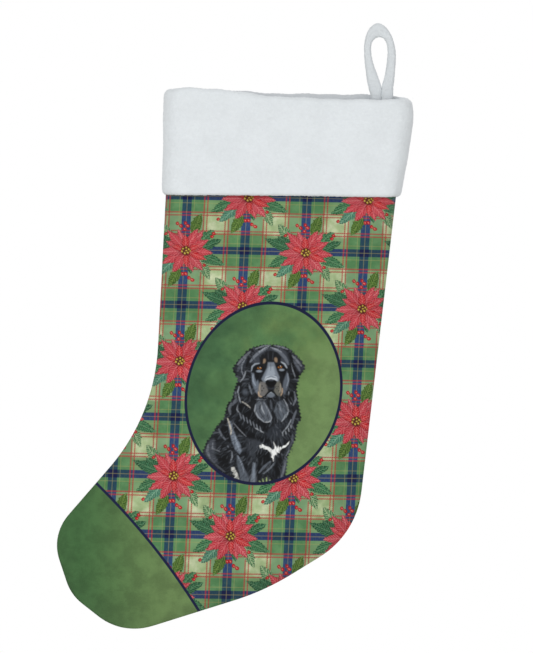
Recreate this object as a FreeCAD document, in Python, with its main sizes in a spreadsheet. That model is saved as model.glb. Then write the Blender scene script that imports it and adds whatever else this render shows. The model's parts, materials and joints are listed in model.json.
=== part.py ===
"""Hanging stocking: a lined fabric stocking with a folded plush cuff and a plush hanging loop.

Frame, in millimetres: the origin is the inside top of the hanging loop, where a hook bears. +X runs
towards the heel side, -Y is the front and +Z is up. The plane Y = 0 is the loop's middle and also the
seam plane, where the stocking's front and back halves are sewn together.
"""

import FreeCAD
import Part
import Sketcher
import math
import os

V = FreeCAD.Vector
FRONT, BACK = -1, 1

# Every driving dimension: its name, its value in millimetres and what it is.
SIZES = (
    ("rim_drop", 47.0, "hook point down to the top of the cuff"),
    ("mouth_right", 23.3, "hook point to the back edge of the panels at the mouth"),
    ("mouth_width", 201.4, "width of the panels at the mouth"),
    ("leg_drop", 370.0, "mouth edge down to the heel corner"),
    ("calf_lean", 43.3, "how far the heel corner lies in front of the back mouth corner"),
    ("ankle_reach", 172.0, "heel corner to the ankle corner, across the foot"),
    ("ankle_rise", 101.0, "ankle corner above the heel corner"),
    ("arch_run", 78.0, "heel corner to the arch corner, along the sole"),
    ("arch_drop", 48.0, "arch corner below the heel corner"),
    ("ball_run", 121.0, "arch corner to the ball corner, along the sole"),
    ("ball_drop", 38.0, "ball corner below the arch corner"),
    ("toe_run", 44.0, "ball corner to the toe's lower corner"),
    ("toe_rise", 34.5, "toe's lower corner above the ball corner"),
    ("tip_run", 17.0, "toe's lower corner to its upper corner"),
    ("tip_rise", 51.0, "toe's upper corner above its lower corner"),
    ("heel_round", 75.0, "radius at the heel"),
    ("arch_round", 211.0, "radius at the arch"),
    ("ball_round", 50.0, "radius under the ball of the foot"),
    ("toe_round", 39.0, "radius at the toe's lower corner"),
    ("tip_round", 39.0, "radius at the toe's upper corner"),
    ("ankle_round", 170.0, "radius of the instep"),
    ("half_depth", 12.5, "seam plane to the flat of the front or back panel"),
    ("edge_flat", 0.6, "straight wall beside the seam, before the edge rounds over"),
    ("panel_thick", 1.2, "printed outer fabric"),
    ("seam_width", 5.0, "seam allowance turned inside the side seam"),
    ("lining_clear", 0.6, "space between the seam allowance and the lining's seam"),
    ("lining_gap", 0.4, "space between the panel and its lining"),
    ("lining_thick", 0.8, "lining fabric"),
    ("cuff_height", 86.6, "top of the cuff to its hem"),
    ("cuff_thick", 5.0, "plush of the cuff's outer layer and its fold"),
    ("cuff_press", 0.05, "plush pressed flat on the cuff's front and back"),
    ("cuff_spread_rim", 7.2, "cuff's outside past the panel's edge, at the rim"),
    ("cuff_spread_hem", 4.7, "cuff's outside past the panel's edge, at the hem"),
    ("facing_thick", 2.4, "plush turned down inside the mouth"),
    ("facing_height", 42.0, "how far the plush is turned down inside"),
    ("slip", 0.4, "clearance between layers that lie on each other"),
    ("fold_round", 3.0, "radius of the cuff's outside edge at the rim"),
    ("fold_inner_round", 2.0, "radius of the cuff's inside edge at the rim"),
    ("hem_round", 1.8, "radius of the cuff's outside edge at the hem"),
    ("loop_thick", 7.0, "loop strap, front to back"),
    ("strap_round", 2.4, "radius of the loop strap's edges"),
    ("loop_half", 13.4, "half of the loop's outside width"),
    ("loop_crown", 12.8, "strap above the hook point"),
    ("eye_half", 6.9, "half of the loop's inside width"),
    ("eye_depth", 41.0, "hook point down to the bottom of the loop's eye"),
    ("eye_shoulder", 23.0, "hook point down to where the legs start to close"),
    ("eye_tip_round", 1.2, "radius at the bottom of the eye"),
    ("leg_round", 24.0, "radius where the legs start to close"),
    ("tail_past", 1.4, "how far the strap's ends run into the rounded end of the mouth"),
    ("root_half", 9.0, "half of the width of the two legs side by side at the root"),
    ("pivot_drop", 43.0, "hook point down to where the strap bends at its root"),
    ("tail_thick", 4.6, "sewn-down end of the strap, front to back"),
    ("tail_width", 6.0, "sewn-down end of the strap, side to side"),
    ("tail_length", 30.0, "strap inside the mouth"),
    ("tail_bend", 12.0, "part of that length in which the strap bends back to the wall"),
    ("tail_gap", 0.6, "space between the two sewn-down ends"),
    ("thread", 0.5, "sewing thread's diameter"),
    ("stitch_pitch", 4.0, "stitch to stitch"),
    ("stitch_inset", 2.6, "side seam's stitches in from the edge"),
    ("stitch_proud", 0.25, "how far a stitch stands out of the fabric"),
    ("stitch_sink", 0.8, "how far the hem's stitches sink into the plush"),
    ("tack_pitch", 1.6, "stitch to stitch in the loop's bar tack"),
)

document = FreeCAD.newDocument("stocking")
sheet = document.addObject("Spreadsheet::Sheet", "sizes")
for row, (alias, value, note) in enumerate(SIZES, start=1):
    sheet.set(f"A{row}", note)
    sheet.set(f"B{row}", str(value))
    sheet.setAlias(f"B{row}", alias)
document.recompute()


class Size:
    """A length that knows its number and the expression over the sheet's cells that gives it."""

    def __init__(self, text, number):
        self.text, self.number = text, number

    def __add__(self, other):
        return Size(f"({self.text} + {other.text})", self.number + other.number)

    def __sub__(self, other):
        return Size(f"({self.text} - {other.text})", self.number - other.number)

    def __mul__(self, factor):
        return Size(f"{self.text} * ({factor:.9f})", self.number * factor)

    def __neg__(self):
        return Size(f"(-{self.text})", -self.number)


def size(alias):
    """The named cell as a Size."""
    return Size(f"sizes.{alias}", float(sheet.get(alias)))


def bind(thing, path, length):
    """Binds a property or constraint of an object to an expression over the sheet."""
    thing.setExpression(path, length.text)


ZERO = size("slip") - size("slip")


# ---- levels and depths that several pieces share ----
RIM = -size("rim_drop")
HEM = RIM - size("cuff_height")
MOUTH = RIM - size("cuff_thick") - size("slip")
LINING_DEPTH = size("half_depth") - size("panel_thick") - size("lining_gap")
FACING_DEPTH = LINING_DEPTH - size("lining_thick") - size("slip")
MOUTH_DEPTH = FACING_DEPTH - size("facing_thick")
CUFF_BORE = size("half_depth") + size("slip")
CUFF_DEPTH = CUFF_BORE + size("cuff_thick")


# ---- the stocking's outline: a polygon whose corners are rounded by tangent arcs ----
def outline_corners():
    """The outline's corners (x, z, radius) from the front mouth corner, round the toe, to the back one."""
    back = (size("mouth_right"), MOUTH)
    heel = (back[0] - size("calf_lean"), back[1] - size("leg_drop"))
    ankle = (heel[0] - size("ankle_reach"), heel[1] + size("ankle_rise"))
    arch = (heel[0] - size("arch_run"), heel[1] - size("arch_drop"))
    ball = (arch[0] - size("ball_run"), arch[1] - size("ball_drop"))
    toe = (ball[0] - size("toe_run"), ball[1] + size("toe_rise"))
    tip = (toe[0] - size("tip_run"), toe[1] + size("tip_rise"))
    return [
        (back[0] - size("mouth_width"), MOUTH, None),
        (*ankle, size("ankle_round")),
        (*tip, size("tip_round")),
        (*toe, size("toe_round")),
        (*ball, size("ball_round")),
        (*arch, size("arch_round")),
        (*heel, size("heel_round")),
        (*back, None),
    ]


def unit(a, b):
    """The direction from a to b, in the outline's plane."""
    length = math.hypot(b[0] - a[0], b[1] - a[1])
    return ((b[0] - a[0]) / length, (b[1] - a[1]) / length)


def numbers(corners):
    return [(x.number, z.number, radius.number if radius else 0.0) for x, z, radius in corners]


def inset_corners(corners, inset):
    """The outline moved inwards by inset. Its two mouth corners stay at the mouth's level."""
    flat = numbers(corners)
    moved = []
    for i, (x, z, radius) in enumerate(corners):
        if radius is None:
            neighbour = flat[1] if i == 0 else flat[-2]
            along = unit(flat[i], neighbour)
            inwards = 1 if i == 0 else -1
            moved.append((x + inset * (inwards / abs(along[1])), z, None))
            continue
        before, after = unit(flat[i - 1], flat[i]), unit(flat[i], flat[i + 1])
        turn = before[0] * after[1] - before[1] * after[0]
        middle = 1 + before[0] * after[0] + before[1] * after[1]
        shift = (-(before[1] + after[1]) / middle, (before[0] + after[0]) / middle)
        tighter = -1 if turn > 0 else 1
        moved.append((x + inset * shift[0], z + inset * shift[1], radius + inset * tighter))
    return moved


def rounded(flat, closed):
    """Lines and tangent arcs along a polygon of (x, z, radius): a list of (kind, points, corner number)."""
    count = len(flat)
    ends = []
    for i, (x, z, radius) in enumerate(flat):
        if not radius:
            ends.append(((x, z), None, (x, z)))
            continue
        before = unit(flat[i - 1], flat[i])
        after = unit(flat[i], flat[(i + 1) % count])
        cosine = max(-1.0, min(1.0, before[0] * after[0] + before[1] * after[1]))
        half = math.acos(cosine) / 2
        reach = radius * math.tan(half)
        start = (x - before[0] * reach, z - before[1] * reach)
        end = (x + after[0] * reach, z + after[1] * reach)
        inward = unit((x, z), ((start[0] + end[0]) / 2, (start[1] + end[1]) / 2))
        away = radius * (1 / math.cos(half) - 1)
        ends.append((start, (x + inward[0] * away, z + inward[1] * away), end))
    pieces = []
    for i in range(count):
        if ends[i][1]:
            pieces.append(("arc", ends[i], i))
        if closed or i < count - 1:
            pieces.append(("line", (ends[i][2], ends[(i + 1) % count][0]), i))
    return pieces


def path_wire(corners, y, closed=False):
    """A wire along the rounded corners in the plane at height y."""
    edges = []
    for kind, points, _ in rounded(numbers(corners), closed):
        places = [V(p[0], y, p[1]) for p in points]
        curve = Part.Arc(*places) if kind == "arc" else Part.LineSegment(*places)
        edges.append(curve.toShape())
    return Part.Wire(edges)


# ---- PartDesign helpers ----
def new_body(name):
    body = document.addObject("PartDesign::Body", name)
    body.Label = name
    return body


def new_sketch(body, name, role):
    """A sketch on one of the body's own origin planes."""
    sketch = body.newObject("Sketcher::SketchObject", name)
    plane = next(f for f in body.Origin.OriginFeatures if f.Role == role)
    sketch.AttachmentSupport = [(plane, "")]
    sketch.MapMode = "FlatFace"
    return sketch


def datum(sketch, kind, first, position, length, name):
    """Fixes a point's distance from the sketch's origin along one axis, bound to the sheet."""
    sketch.addConstraint(Sketcher.Constraint(kind, -1, 1, first, position, length.number))
    place = sketch.ConstraintCount - 1
    sketch.renameConstraint(place, name)
    bind(sketch, f"Constraints.{name}", length)


def end_at(sketch, index, point):
    """Which end of a sketch curve, 1 or 2, lies at a point."""
    gaps = [(sketch.getPoint(index, end) - V(point[0], point[1], 0)).Length for end in (1, 2)]
    return 1 if gaps[0] < gaps[1] else 2


def draw_loop(sketch, corners, prefix=""):
    """Draws a closed rounded polygon, with its corners and radii bound to the sheet."""
    pieces = rounded(numbers(corners), closed=True)
    index = []
    for kind, points, _ in pieces:
        places = [V(p[0], p[1], 0) for p in points]
        curve = Part.Arc(*places) if kind == "arc" else Part.LineSegment(*places)
        index.append(sketch.addGeometry(curve, False))
    for n, (kind, points, _) in enumerate(pieces):
        after = (n + 1) % len(pieces)
        joint = points[-1]
        this_end = end_at(sketch, index[n], joint)
        next_end = end_at(sketch, index[after], joint)
        smooth = "arc" in (kind, pieces[after][0])
        rule = "Tangent" if smooth else "Coincident"
        sketch.addConstraint(Sketcher.Constraint(rule, index[n], this_end, index[after], next_end))
    for n, (kind, points, corner) in enumerate(pieces):
        x, z, radius = corners[corner]
        if kind == "arc":
            mark = sketch.addGeometry(Part.Point(V(x.number, z.number, 0)), True)
            for line in (index[n - 1], index[(n + 1) % len(pieces)]):
                sketch.addConstraint(Sketcher.Constraint("PointOnObject", mark, 1, line))
            datum(sketch, "DistanceX", mark, 1, x, f"{prefix}corner{corner}_x")
            datum(sketch, "DistanceY", mark, 1, z, f"{prefix}corner{corner}_z")
            sketch.addConstraint(Sketcher.Constraint("Radius", index[n], radius.number))
            name = f"{prefix}corner{corner}_radius"
            sketch.renameConstraint(sketch.ConstraintCount - 1, name)
            bind(sketch, f"Constraints.{name}", radius)
        elif not corners[corner][2]:
            end = end_at(sketch, index[n], points[0])
            datum(sketch, "DistanceX", index[n], end, x, f"{prefix}corner{corner}_x")
            datum(sketch, "DistanceY", index[n], end, z, f"{prefix}corner{corner}_z")


def pad(body, sketch, name, length, side):
    """A pad towards the front, which is a sketch on the XZ plane's own direction, or the back."""
    feature = body.newObject("PartDesign::Pad", name)
    feature.Profile = (sketch, [""])
    bind(feature, "Length", length)
    feature.Reversed = side == BACK
    document.recompute()
    return feature


def face_names(shape, test):
    return [f"Face{i}" for i, face in enumerate(shape.Faces, start=1) if test(face)]


def lies_at(shape, axis, number):
    """True if all of a shape's vertices lie at that number along an axis, 0 for X to 2 for Z."""
    return all(abs(v.Point[axis] - number) < 1e-6 for v in shape.Vertexes)


def dish(name, corners, side, depth, thick):
    """Half of a bag: a flat sheet with rounded-over edges, open at the mouth and at the seam plane."""
    body = new_body(name)
    sketch = new_sketch(body, f"{name}_outline", "XZ_Plane")
    draw_loop(sketch, corners)
    block = pad(body, sketch, f"{name}_block", depth, side)
    flat, mouth = side * depth.number, MOUTH.number
    edges = [
        f"Edge{i}"
        for i, edge in enumerate(block.Shape.Edges, start=1)
        if lies_at(edge, 1, flat) and not lies_at(edge, 2, mouth)
    ]
    fillet = body.newObject("PartDesign::Fillet", f"{name}_edge")
    fillet.Base = (block, edges)
    bind(fillet, "Radius", depth - size("edge_flat"))
    document.recompute()
    open_faces = face_names(
        fillet.Shape, lambda face: lies_at(face, 1, 0.0) or lies_at(face, 2, mouth)
    )
    shell = body.newObject("PartDesign::Thickness", f"{name}_shell")
    shell.Base = (fillet, open_faces)
    bind(shell, "Value", thick)
    shell.Reversed = True
    document.recompute()
    return body


def add_allowance(body, corners, side, width, thick):
    """The strip of a panel that is turned inwards along the side seam."""
    outer = inset_corners(corners, thick * 0.5)
    inner = inset_corners(corners, width)
    sketch = new_sketch(body, f"{body.Name}_allowance_outline", "XZ_Plane")
    loop = outer + inner[::-1]
    draw_loop(sketch, loop)
    pad(body, sketch, f"{body.Name}_allowance", thick, side)


def half_ring(body, name, side, level, left, right, depth):
    """Half of a rounded slot shape at a level: straight along the seam plane, full-round at its ends."""
    sketch = new_sketch(body, name, "XY_Plane")
    bind(sketch, "AttachmentOffset.Base.z", level)
    x0, x1, d = left.number, right.number, depth.number
    y, diagonal = side * d, d * math.sqrt(0.5)
    points = {
        "first": (V(x0, 0, 0), V(x0 + d - diagonal, side * diagonal, 0), V(x0 + d, y, 0)),
        "last": (V(x1 - d, y, 0), V(x1 - d + diagonal, side * diagonal, 0), V(x1, 0, 0)),
    }
    first = sketch.addGeometry(Part.Arc(*points["first"]), False)
    flat = sketch.addGeometry(Part.LineSegment(points["first"][2], points["last"][0]), False)
    last = sketch.addGeometry(Part.Arc(*points["last"]), False)
    seam = sketch.addGeometry(Part.LineSegment(points["last"][2], points["first"][0]), False)
    order = (
        ("Tangent", first, flat, points["first"][2]),
        ("Tangent", flat, last, points["last"][0]),
        ("Coincident", last, seam, points["last"][2]),
        ("Coincident", seam, first, points["first"][0]),
    )
    for rule, one, other, joint in order:
        ends = end_at(sketch, one, joint), end_at(sketch, other, joint)
        sketch.addConstraint(Sketcher.Constraint(rule, one, ends[0], other, ends[1]))
    sketch.addConstraint(Sketcher.Constraint("Horizontal", seam))
    sketch.addConstraint(Sketcher.Constraint("PointOnObject", first, 3, -1))
    sketch.addConstraint(Sketcher.Constraint("PointOnObject", last, 3, -1))
    datum(sketch, "DistanceX", seam, end_at(sketch, seam, (x0, 0)), left, "left")
    datum(sketch, "DistanceX", seam, end_at(sketch, seam, (x1, 0)), right, "right")
    sketch.addConstraint(Sketcher.Constraint("Radius", first, d))
    sketch.renameConstraint(sketch.ConstraintCount - 1, "depth")
    bind(sketch, "Constraints.depth", depth)
    return sketch


def loft(body, name, kind, top, bottom):
    feature = body.newObject(f"PartDesign::{kind}Loft", name)
    feature.Profile = top
    feature.Sections = [bottom]
    feature.Ruled = True
    document.recompute()
    return feature


def edge_at(corner, neighbour, level):
    """Where the straight edge through a mouth corner is at another level, as a Size."""
    rise = (level.number - corner[1].number) / (neighbour[1].number - corner[1].number)
    return corner[0] + (neighbour[0] - corner[0]) * rise


def rim_edges(shape, level):
    """The shape's edges at a level that do not lie in the seam plane: (name, reach from the plane)."""
    found = []
    for i, edge in enumerate(shape.Edges, start=1):
        if lies_at(edge, 2, level.number) and not lies_at(edge, 1, 0.0):
            found.append((f"Edge{i}", max(abs(v.Point[1]) for v in edge.Vertexes)))
    return found


def width_at(body, level, widest):
    """How far the outermost, or innermost, run of edges at a level reaches from the seam plane."""
    reaches = [reach for _, reach in rim_edges(body.Shape, level)]
    return max(reaches) if widest else min(reaches)


def soften(body, name, level, reach, radius):
    """Rounds the run of edges at a level that reaches that far from the seam plane."""
    base = body.Tip
    edges = [edge for edge, far in rim_edges(base.Shape, level) if abs(far - reach) < 1e-6]
    fillet = body.newObject("PartDesign::Fillet", name)
    fillet.Base = (base, edges)
    bind(fillet, "Radius", radius)
    document.recompute()


def press_flat(body, name, side, panel):
    """Cuts the bulge off the cuff's broad face, so that the face is a true plane."""
    sketch = new_sketch(body, f"{name}_press", "XZ_Plane")
    bind(sketch, "AttachmentOffset.Base.z", CUFF_DEPTH * -side)
    margin = CUFF_DEPTH
    left, right = panel[0][0] - margin, panel[-1][0] + margin
    top, bottom = RIM + margin, HEM - margin
    draw_loop(sketch, [
        (left, bottom, None),
        (right, bottom, None),
        (right, top, None),
        (left, top, None),
    ])
    before = body.Shape.Volume
    cut = body.newObject("PartDesign::Pocket", f"{name}_pressed")
    cut.Profile = (sketch, [""])
    cut.Type = "ThroughAll"
    cut.Reversed = side == FRONT
    document.recompute()
    if not 0.9 * before < body.Shape.Volume < before:
        raise RuntimeError(f"{cut.Name} cuts the wrong side")


def half_cuff(name, side, panel, lining):
    """Front or back half of the cuff: an outer layer, the fold over the rim and the facing inside."""
    body = new_body(name)
    wall, facing = size("cuff_thick"), size("facing_thick")
    step = size("lining_thick") + size("slip")
    above = size("slip")

    def across(corners, level):
        left = edge_at(corners[0], corners[1], level)
        right = edge_at(corners[-1], corners[-2], level)
        return left, right

    def section(part, level, corners, spread, depth):
        left, right = across(corners, level)
        return half_ring(body, f"{name}_{part}", side, level, left - spread, right + spread, depth)

    def pair(part, kind, top, bottom, corners, spread_top, spread_bottom, depth):
        upper = section(f"{part}_top", top, corners, spread_top, depth)
        lower = section(f"{part}_bottom", bottom, corners, spread_bottom, depth)
        loft(body, f"{name}_{part}", kind, upper, lower)

    rim_spread, hem_spread = size("cuff_spread_rim"), size("cuff_spread_hem")
    bottom = RIM - size("facing_height")
    swollen = CUFF_DEPTH + size("cuff_press")
    pair("outside", "Additive", RIM, HEM, panel, rim_spread, hem_spread, swollen)
    pair("slot", "Subtractive", RIM - wall, HEM - above, panel, above, above, CUFF_BORE)
    pair("facing", "Additive", RIM - wall * 0.5, bottom, lining, -step, -step, FACING_DEPTH)
    inner = step + facing
    pair("mouth", "Subtractive", RIM + above, bottom - above, lining, -inner, -inner, MOUTH_DEPTH)
    outer_rim = width_at(body, RIM, widest=True)
    soften(body, f"{name}_fold", RIM, outer_rim, size("fold_round"))
    inner_rim = width_at(body, RIM, widest=False)
    soften(body, f"{name}_inner_fold", RIM, inner_rim, size("fold_inner_round"))
    outer_hem = width_at(body, HEM, widest=True)
    soften(body, f"{name}_hem", HEM, outer_hem, size("hem_round"))
    press_flat(body, name, side, panel)


# ---- sewing thread ----
def stitches(name, places, length, direction=V(0, 1, 0)):
    """A line of sewing thread's passes through the fabric, each a short rod centred on its place."""
    radius = size("thread").number / 2
    rods = []
    for place in places:
        start = place - direction * (length / 2)
        rods.append(Part.makeCylinder(radius, length, start, direction))
    feature = document.addObject("Part::Feature", name)
    feature.Label = name
    feature.Shape = Part.makeCompound(rods)
    return feature


def along(wire, pitch, margin=0.0):
    """Points a pitch apart along a wire, keeping a margin from each end."""
    count = int((wire.Length - 2 * margin) / pitch)
    spare = (wire.Length - count * pitch) / 2
    fine = wire.discretize(Number=int(wire.Length) * 4)
    step = wire.Length / (len(fine) - 1)
    return [fine[round((spare + i * pitch) / step)] for i in range(count + 1)]


# ---- the pieces ----
panel_outline = outline_corners()
lining_outline = inset_corners(panel_outline, size("seam_width") + size("lining_clear"))
MOUTH_END = lining_outline[-1][0] - size("lining_thick") - size("slip") - size("facing_thick")
LOOP_ROOT = MOUTH_END - MOUTH_DEPTH + size("tail_past") - size("tail_width") - size("tail_gap") * 0.5
pitch, proud = size("stitch_pitch").number, size("stitch_proud").number


def make_bag():
    """The two printed panels and the two lining panels inside them."""
    for name, side in (("front_panel", FRONT), ("back_panel", BACK)):
        body = dish(name, panel_outline, side, size("half_depth"), size("panel_thick"))
        add_allowance(body, panel_outline, side, size("seam_width"), size("panel_thick"))
    for name, side in (("front_lining", FRONT), ("back_lining", BACK)):
        dish(name, lining_outline, side, LINING_DEPTH, size("lining_thick"))


def make_cuff():
    for name, side in (("cuff_front", FRONT), ("cuff_back", BACK)):
        half_cuff(name, side, panel_outline, lining_outline)


def make_loop():
    """The loop that a hook takes, with a round root about which the stocking swings."""
    root, root_half = LOOP_ROOT, size("root_half")
    half, eye, pivot = size("loop_half"), size("eye_half"), -size("pivot_drop")
    crown, shoulder = size("loop_crown"), -size("eye_shoulder")
    turn, bend = size("slip"), size("leg_round")
    body = new_body("hanging_loop")
    sketch = new_sketch(body, "loop_outside", "XZ_Plane")
    draw_loop(sketch, [
        (half, crown, half - turn),
        (-half, crown, half - turn),
        (-half, shoulder, bend),
        (root - root_half, pivot, None),
        (root + root_half, pivot, None),
        (half, shoulder, bend),
    ])
    strap = body.newObject("PartDesign::Pad", "loop_strap")
    strap.Profile = (sketch, [""])
    bind(strap, "Length", size("loop_thick"))
    strap.Midplane = True
    hole = new_sketch(body, "loop_eye", "XZ_Plane")
    draw_loop(hole, [
        (eye, ZERO, eye - turn),
        (-eye, ZERO, eye - turn),
        (-eye, shoulder, bend),
        (root, -size("eye_depth"), size("eye_tip_round")),
        (eye, shoulder, bend),
    ])
    document.recompute()
    pocket = body.newObject("PartDesign::Pocket", "loop_hole")
    pocket.Profile = (hole, [""])
    pocket.Type = "ThroughAll"
    pocket.Midplane = True
    document.recompute()
    face = size("loop_thick").number / 2
    edges = [
        f"Edge{i}"
        for i, edge in enumerate(pocket.Shape.Edges, start=1)
        if (lies_at(edge, 1, face) or lies_at(edge, 1, -face))
        and not lies_at(edge, 2, pivot.number)
    ]
    fillet = body.newObject("PartDesign::Fillet", "loop_edges")
    fillet.Base = (pocket, edges)
    bind(fillet, "Radius", size("strap_round"))
    document.recompute()
    knuckle = new_sketch(body, "loop_root_circle", "YZ_Plane")
    bind(knuckle, "AttachmentOffset.Base.z", root - root_half)
    radius = size("loop_thick") * 0.5
    ring = knuckle.addGeometry(Part.Circle(V(0, pivot.number, 0), V(0, 0, 1), radius.number), False)
    datum(knuckle, "DistanceX", ring, 3, ZERO, "across")
    datum(knuckle, "DistanceY", ring, 3, pivot, "level")
    knuckle.addConstraint(Sketcher.Constraint("Radius", ring, radius.number))
    knuckle.renameConstraint(knuckle.ConstraintCount - 1, "round")
    bind(knuckle, "Constraints.round", radius)
    document.recompute()
    roll = body.newObject("PartDesign::Pad", "loop_root")
    roll.Profile = (knuckle, [""])
    bind(roll, "Length", root_half * 2.0)
    document.recompute()


def box_section(body, name, left, right, front, back, level):
    """A rectangle at a level, its four sides bound to the sheet."""
    sketch = new_sketch(body, name, "XY_Plane")
    bind(sketch, "AttachmentOffset.Base.z", level)
    draw_loop(sketch, [
        (left, front, None),
        (right, front, None),
        (right, back, None),
        (left, back, None),
    ])
    return sketch


def tail_levels():
    """Where the strap's ends start, finish their bend and stop, from the top down."""
    top = -size("pivot_drop") - size("loop_thick") * 0.5 - size("slip")
    return top, top - size("tail_bend"), top - size("tail_length")


def seam_lean(level):
    """How far the panels' heel-side edge has moved across between the mouth and a level."""
    return edge_at(panel_outline[-1], panel_outline[-2], level) - panel_outline[-1][0]


def make_tails():
    """The strap's two ends, which bend back inside the mouth and lie against its back wall."""
    back = MOUTH_DEPTH - size("slip") * 0.5
    half = size("tail_thick") * 0.5
    depths = (half, back, back)
    for name, way in (("loop_tail_toe_side", -1), ("loop_tail_heel_side", 1)):
        body = new_body(name)
        sections = []
        for i, (level, rear) in enumerate(zip(tail_levels(), depths)):
            inner = LOOP_ROOT + seam_lean(level) + size("tail_gap") * (0.5 * way)
            outer = inner + size("tail_width") * way
            left, right = (outer, inner) if way < 0 else (inner, outer)
            front = rear - size("tail_thick")
            sections.append(box_section(body, f"{name}_{i}", left, right, front, rear, level))
        feature = body.newObject("PartDesign::AdditiveLoft", f"{name}_strap")
        feature.Profile = sections[0]
        feature.Sections = sections[1:]
        feature.Ruled = True
        document.recompute()


def make_threads():
    """Every seam's thread."""
    seam = path_wire(inset_corners(panel_outline, size("stitch_inset")), 0.0)
    through = 2 * size("panel_thick").number + 2 * proud
    stitches("side_seam_thread", along(seam, pitch, pitch), through)
    seam = path_wire(inset_corners(lining_outline, size("lining_thick") * 0.5), 0.0)
    stitches("lining_seam_thread", along(seam, pitch, pitch), pitch / 2)
    stitches("cuff_side_seam_thread", cuff_side_places(), pitch / 2)
    mouth_seam()
    hem_seam()
    facing_seam()
    bar_tack()
    loop_seam()


def cuff_side_places():
    """Places down the cuff's two side seams, in the middle of the plush."""
    wall = size("cuff_thick") * 0.5
    places = []
    for corner, neighbour, way in ((0, 1, -1), (-1, -2, 1)):
        ends = []
        for level, spread in ((RIM, "cuff_spread_rim"), (HEM, "cuff_spread_hem")):
            edge = edge_at(panel_outline[corner], panel_outline[neighbour], level).number
            ends.append(V(edge + way * (size(spread) - wall).number, 0, level.number))
        count = int(size("cuff_height").number / pitch)
        for i in range(1, count):
            places.append(ends[0] + (ends[1] - ends[0]) * (i / count))
    return places


def row_across(level, left, right, y):
    """Places a stitch pitch apart across a flat of the bag."""
    count = int((right - left) / pitch)
    spare = ((right - left) - count * pitch) / 2
    return [V(left + spare + i * pitch, y, level) for i in range(count + 1)]


def mouth_seam():
    """Joins each panel to its lining just below the fold."""
    level = MOUTH.number - 2 * pitch
    outer = size("half_depth").number
    inner = (LINING_DEPTH - size("lining_thick")).number
    left = lining_outline[0][0].number + LINING_DEPTH.number
    right = lining_outline[-1][0].number - LINING_DEPTH.number
    middle = (outer + inner) / 2
    places = [p for side in (FRONT, BACK) for p in row_across(level, left, right, side * middle)]
    return stitches("mouth_seam_thread", places, outer - inner + proud)


def hem_seam():
    """Holds the plush that is turned under at the cuff's hem. Its outer ends sink into the pile."""
    level = HEM.number + 2 * pitch
    left = edge_at(panel_outline[0], panel_outline[1], HEM).number + CUFF_DEPTH.number
    right = edge_at(panel_outline[-1], panel_outline[-2], HEM).number - CUFF_DEPTH.number
    inner = CUFF_BORE.number - proud / 2
    outer = CUFF_DEPTH.number - size("stitch_sink").number
    middle = (inner + outer) / 2
    places = [p for side in (FRONT, BACK) for p in row_across(level, left, right, side * middle)]
    stitches("cuff_hem_thread", places, outer - inner)


def facing_seam():
    """Catches the lower edge of the facing to the lining."""
    level = (RIM - size("facing_height")).number + pitch
    outer = LINING_DEPTH.number
    inner = MOUTH_DEPTH.number
    left = lining_outline[0][0].number + LINING_DEPTH.number
    right = lining_outline[-1][0].number - 2 * LINING_DEPTH.number
    middle = (outer + inner) / 2
    places = [p for side in (FRONT, BACK) for p in row_across(level, left, right, side * middle)]
    stitches("facing_thread", places, outer - inner + proud)


def bar_tack():
    """A dense tack through both ends of the strap and the back facing."""
    tack = size("tack_pitch").number
    _, bent, end = tail_levels()
    rear = (MOUTH_DEPTH + size("facing_thick")).number
    front = (MOUTH_DEPTH - size("slip") * 0.5 - size("tail_thick")).number
    reach = (size("tail_width") + size("tail_gap") * 0.5).number - 1.5 * tack
    count = int(2 * reach / tack)
    places = []
    for share in (0.15, 0.8):
        level = bent + (end - bent) * share
        middle = (LOOP_ROOT + seam_lean(level)).number
        for i in range(count + 1):
            x = middle - reach + i * 2 * reach / count
            places.append(V(x, (front + rear) / 2, level.number + tack * (i % 2)))
    stitches("loop_bar_tack", places, rear - front + proud)


def loop_seam():
    """The long closing seam down the middle of the loop's strap."""
    half = (size("loop_half") + size("eye_half")) * 0.5
    top = size("loop_crown") * 0.5
    root, shoulder = LOOP_ROOT, -size("eye_shoulder")
    low = -size("pivot_drop") + size("loop_thick") * 0.5
    near = size("root_half") * 0.5
    turn = half - size("slip")
    corners = [
        (root - near, low, None),
        (-half, shoulder, size("leg_round")),
        (-half, top, turn),
        (half, top, turn),
        (half, shoulder, size("leg_round")),
        (root + near, low, None),
    ]
    seam = path_wire(corners, 0.0)
    stitches("loop_seam_thread", along(seam, pitch, pitch / 2), size("loop_thick").number + proud)


make_bag()
make_cuff()
make_loop()
make_tails()
make_threads()
document.recompute()

NODES = (
    "front_panel", "back_panel", "front_lining", "back_lining", "cuff_front", "cuff_back",
    "hanging_loop", "loop_tail_toe_side", "loop_tail_heel_side", "side_seam_thread",
    "lining_seam_thread", "cuff_side_seam_thread", "mouth_seam_thread", "cuff_hem_thread",
    "facing_thread", "loop_bar_tack", "loop_seam_thread",
)

for thing in document.Objects:
    if {"Invalid", "Error"} & set(thing.State):
        raise RuntimeError(f"{thing.Name} did not build: {thing.State}")
os.makedirs("parts", exist_ok=True)
for name in NODES:
    shape = document.getObject(name).Shape
    if shape.isNull() or not shape.isValid():
        raise RuntimeError(f"{name} has no valid shape")
    shape.exportStep(f"parts/{name}.step")
    print(f"{name}: {len(shape.Solids)} solids, {shape.Volume / 1000:.2f} cm3")
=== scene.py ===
"""Scene of a hanging stocking: printed cloth bag, lining, folded plush cuff and plush hanging loop.

All lengths in the classes are in millimetres, in the CAD model's frame: +X towards the heel side, -Y to
the front, +Z up, with the origin at the inside top of the hanging loop.
"""

from __future__ import annotations

import json
import logging
import math
from dataclasses import dataclass
from dataclasses import field
from enum import Enum

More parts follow.
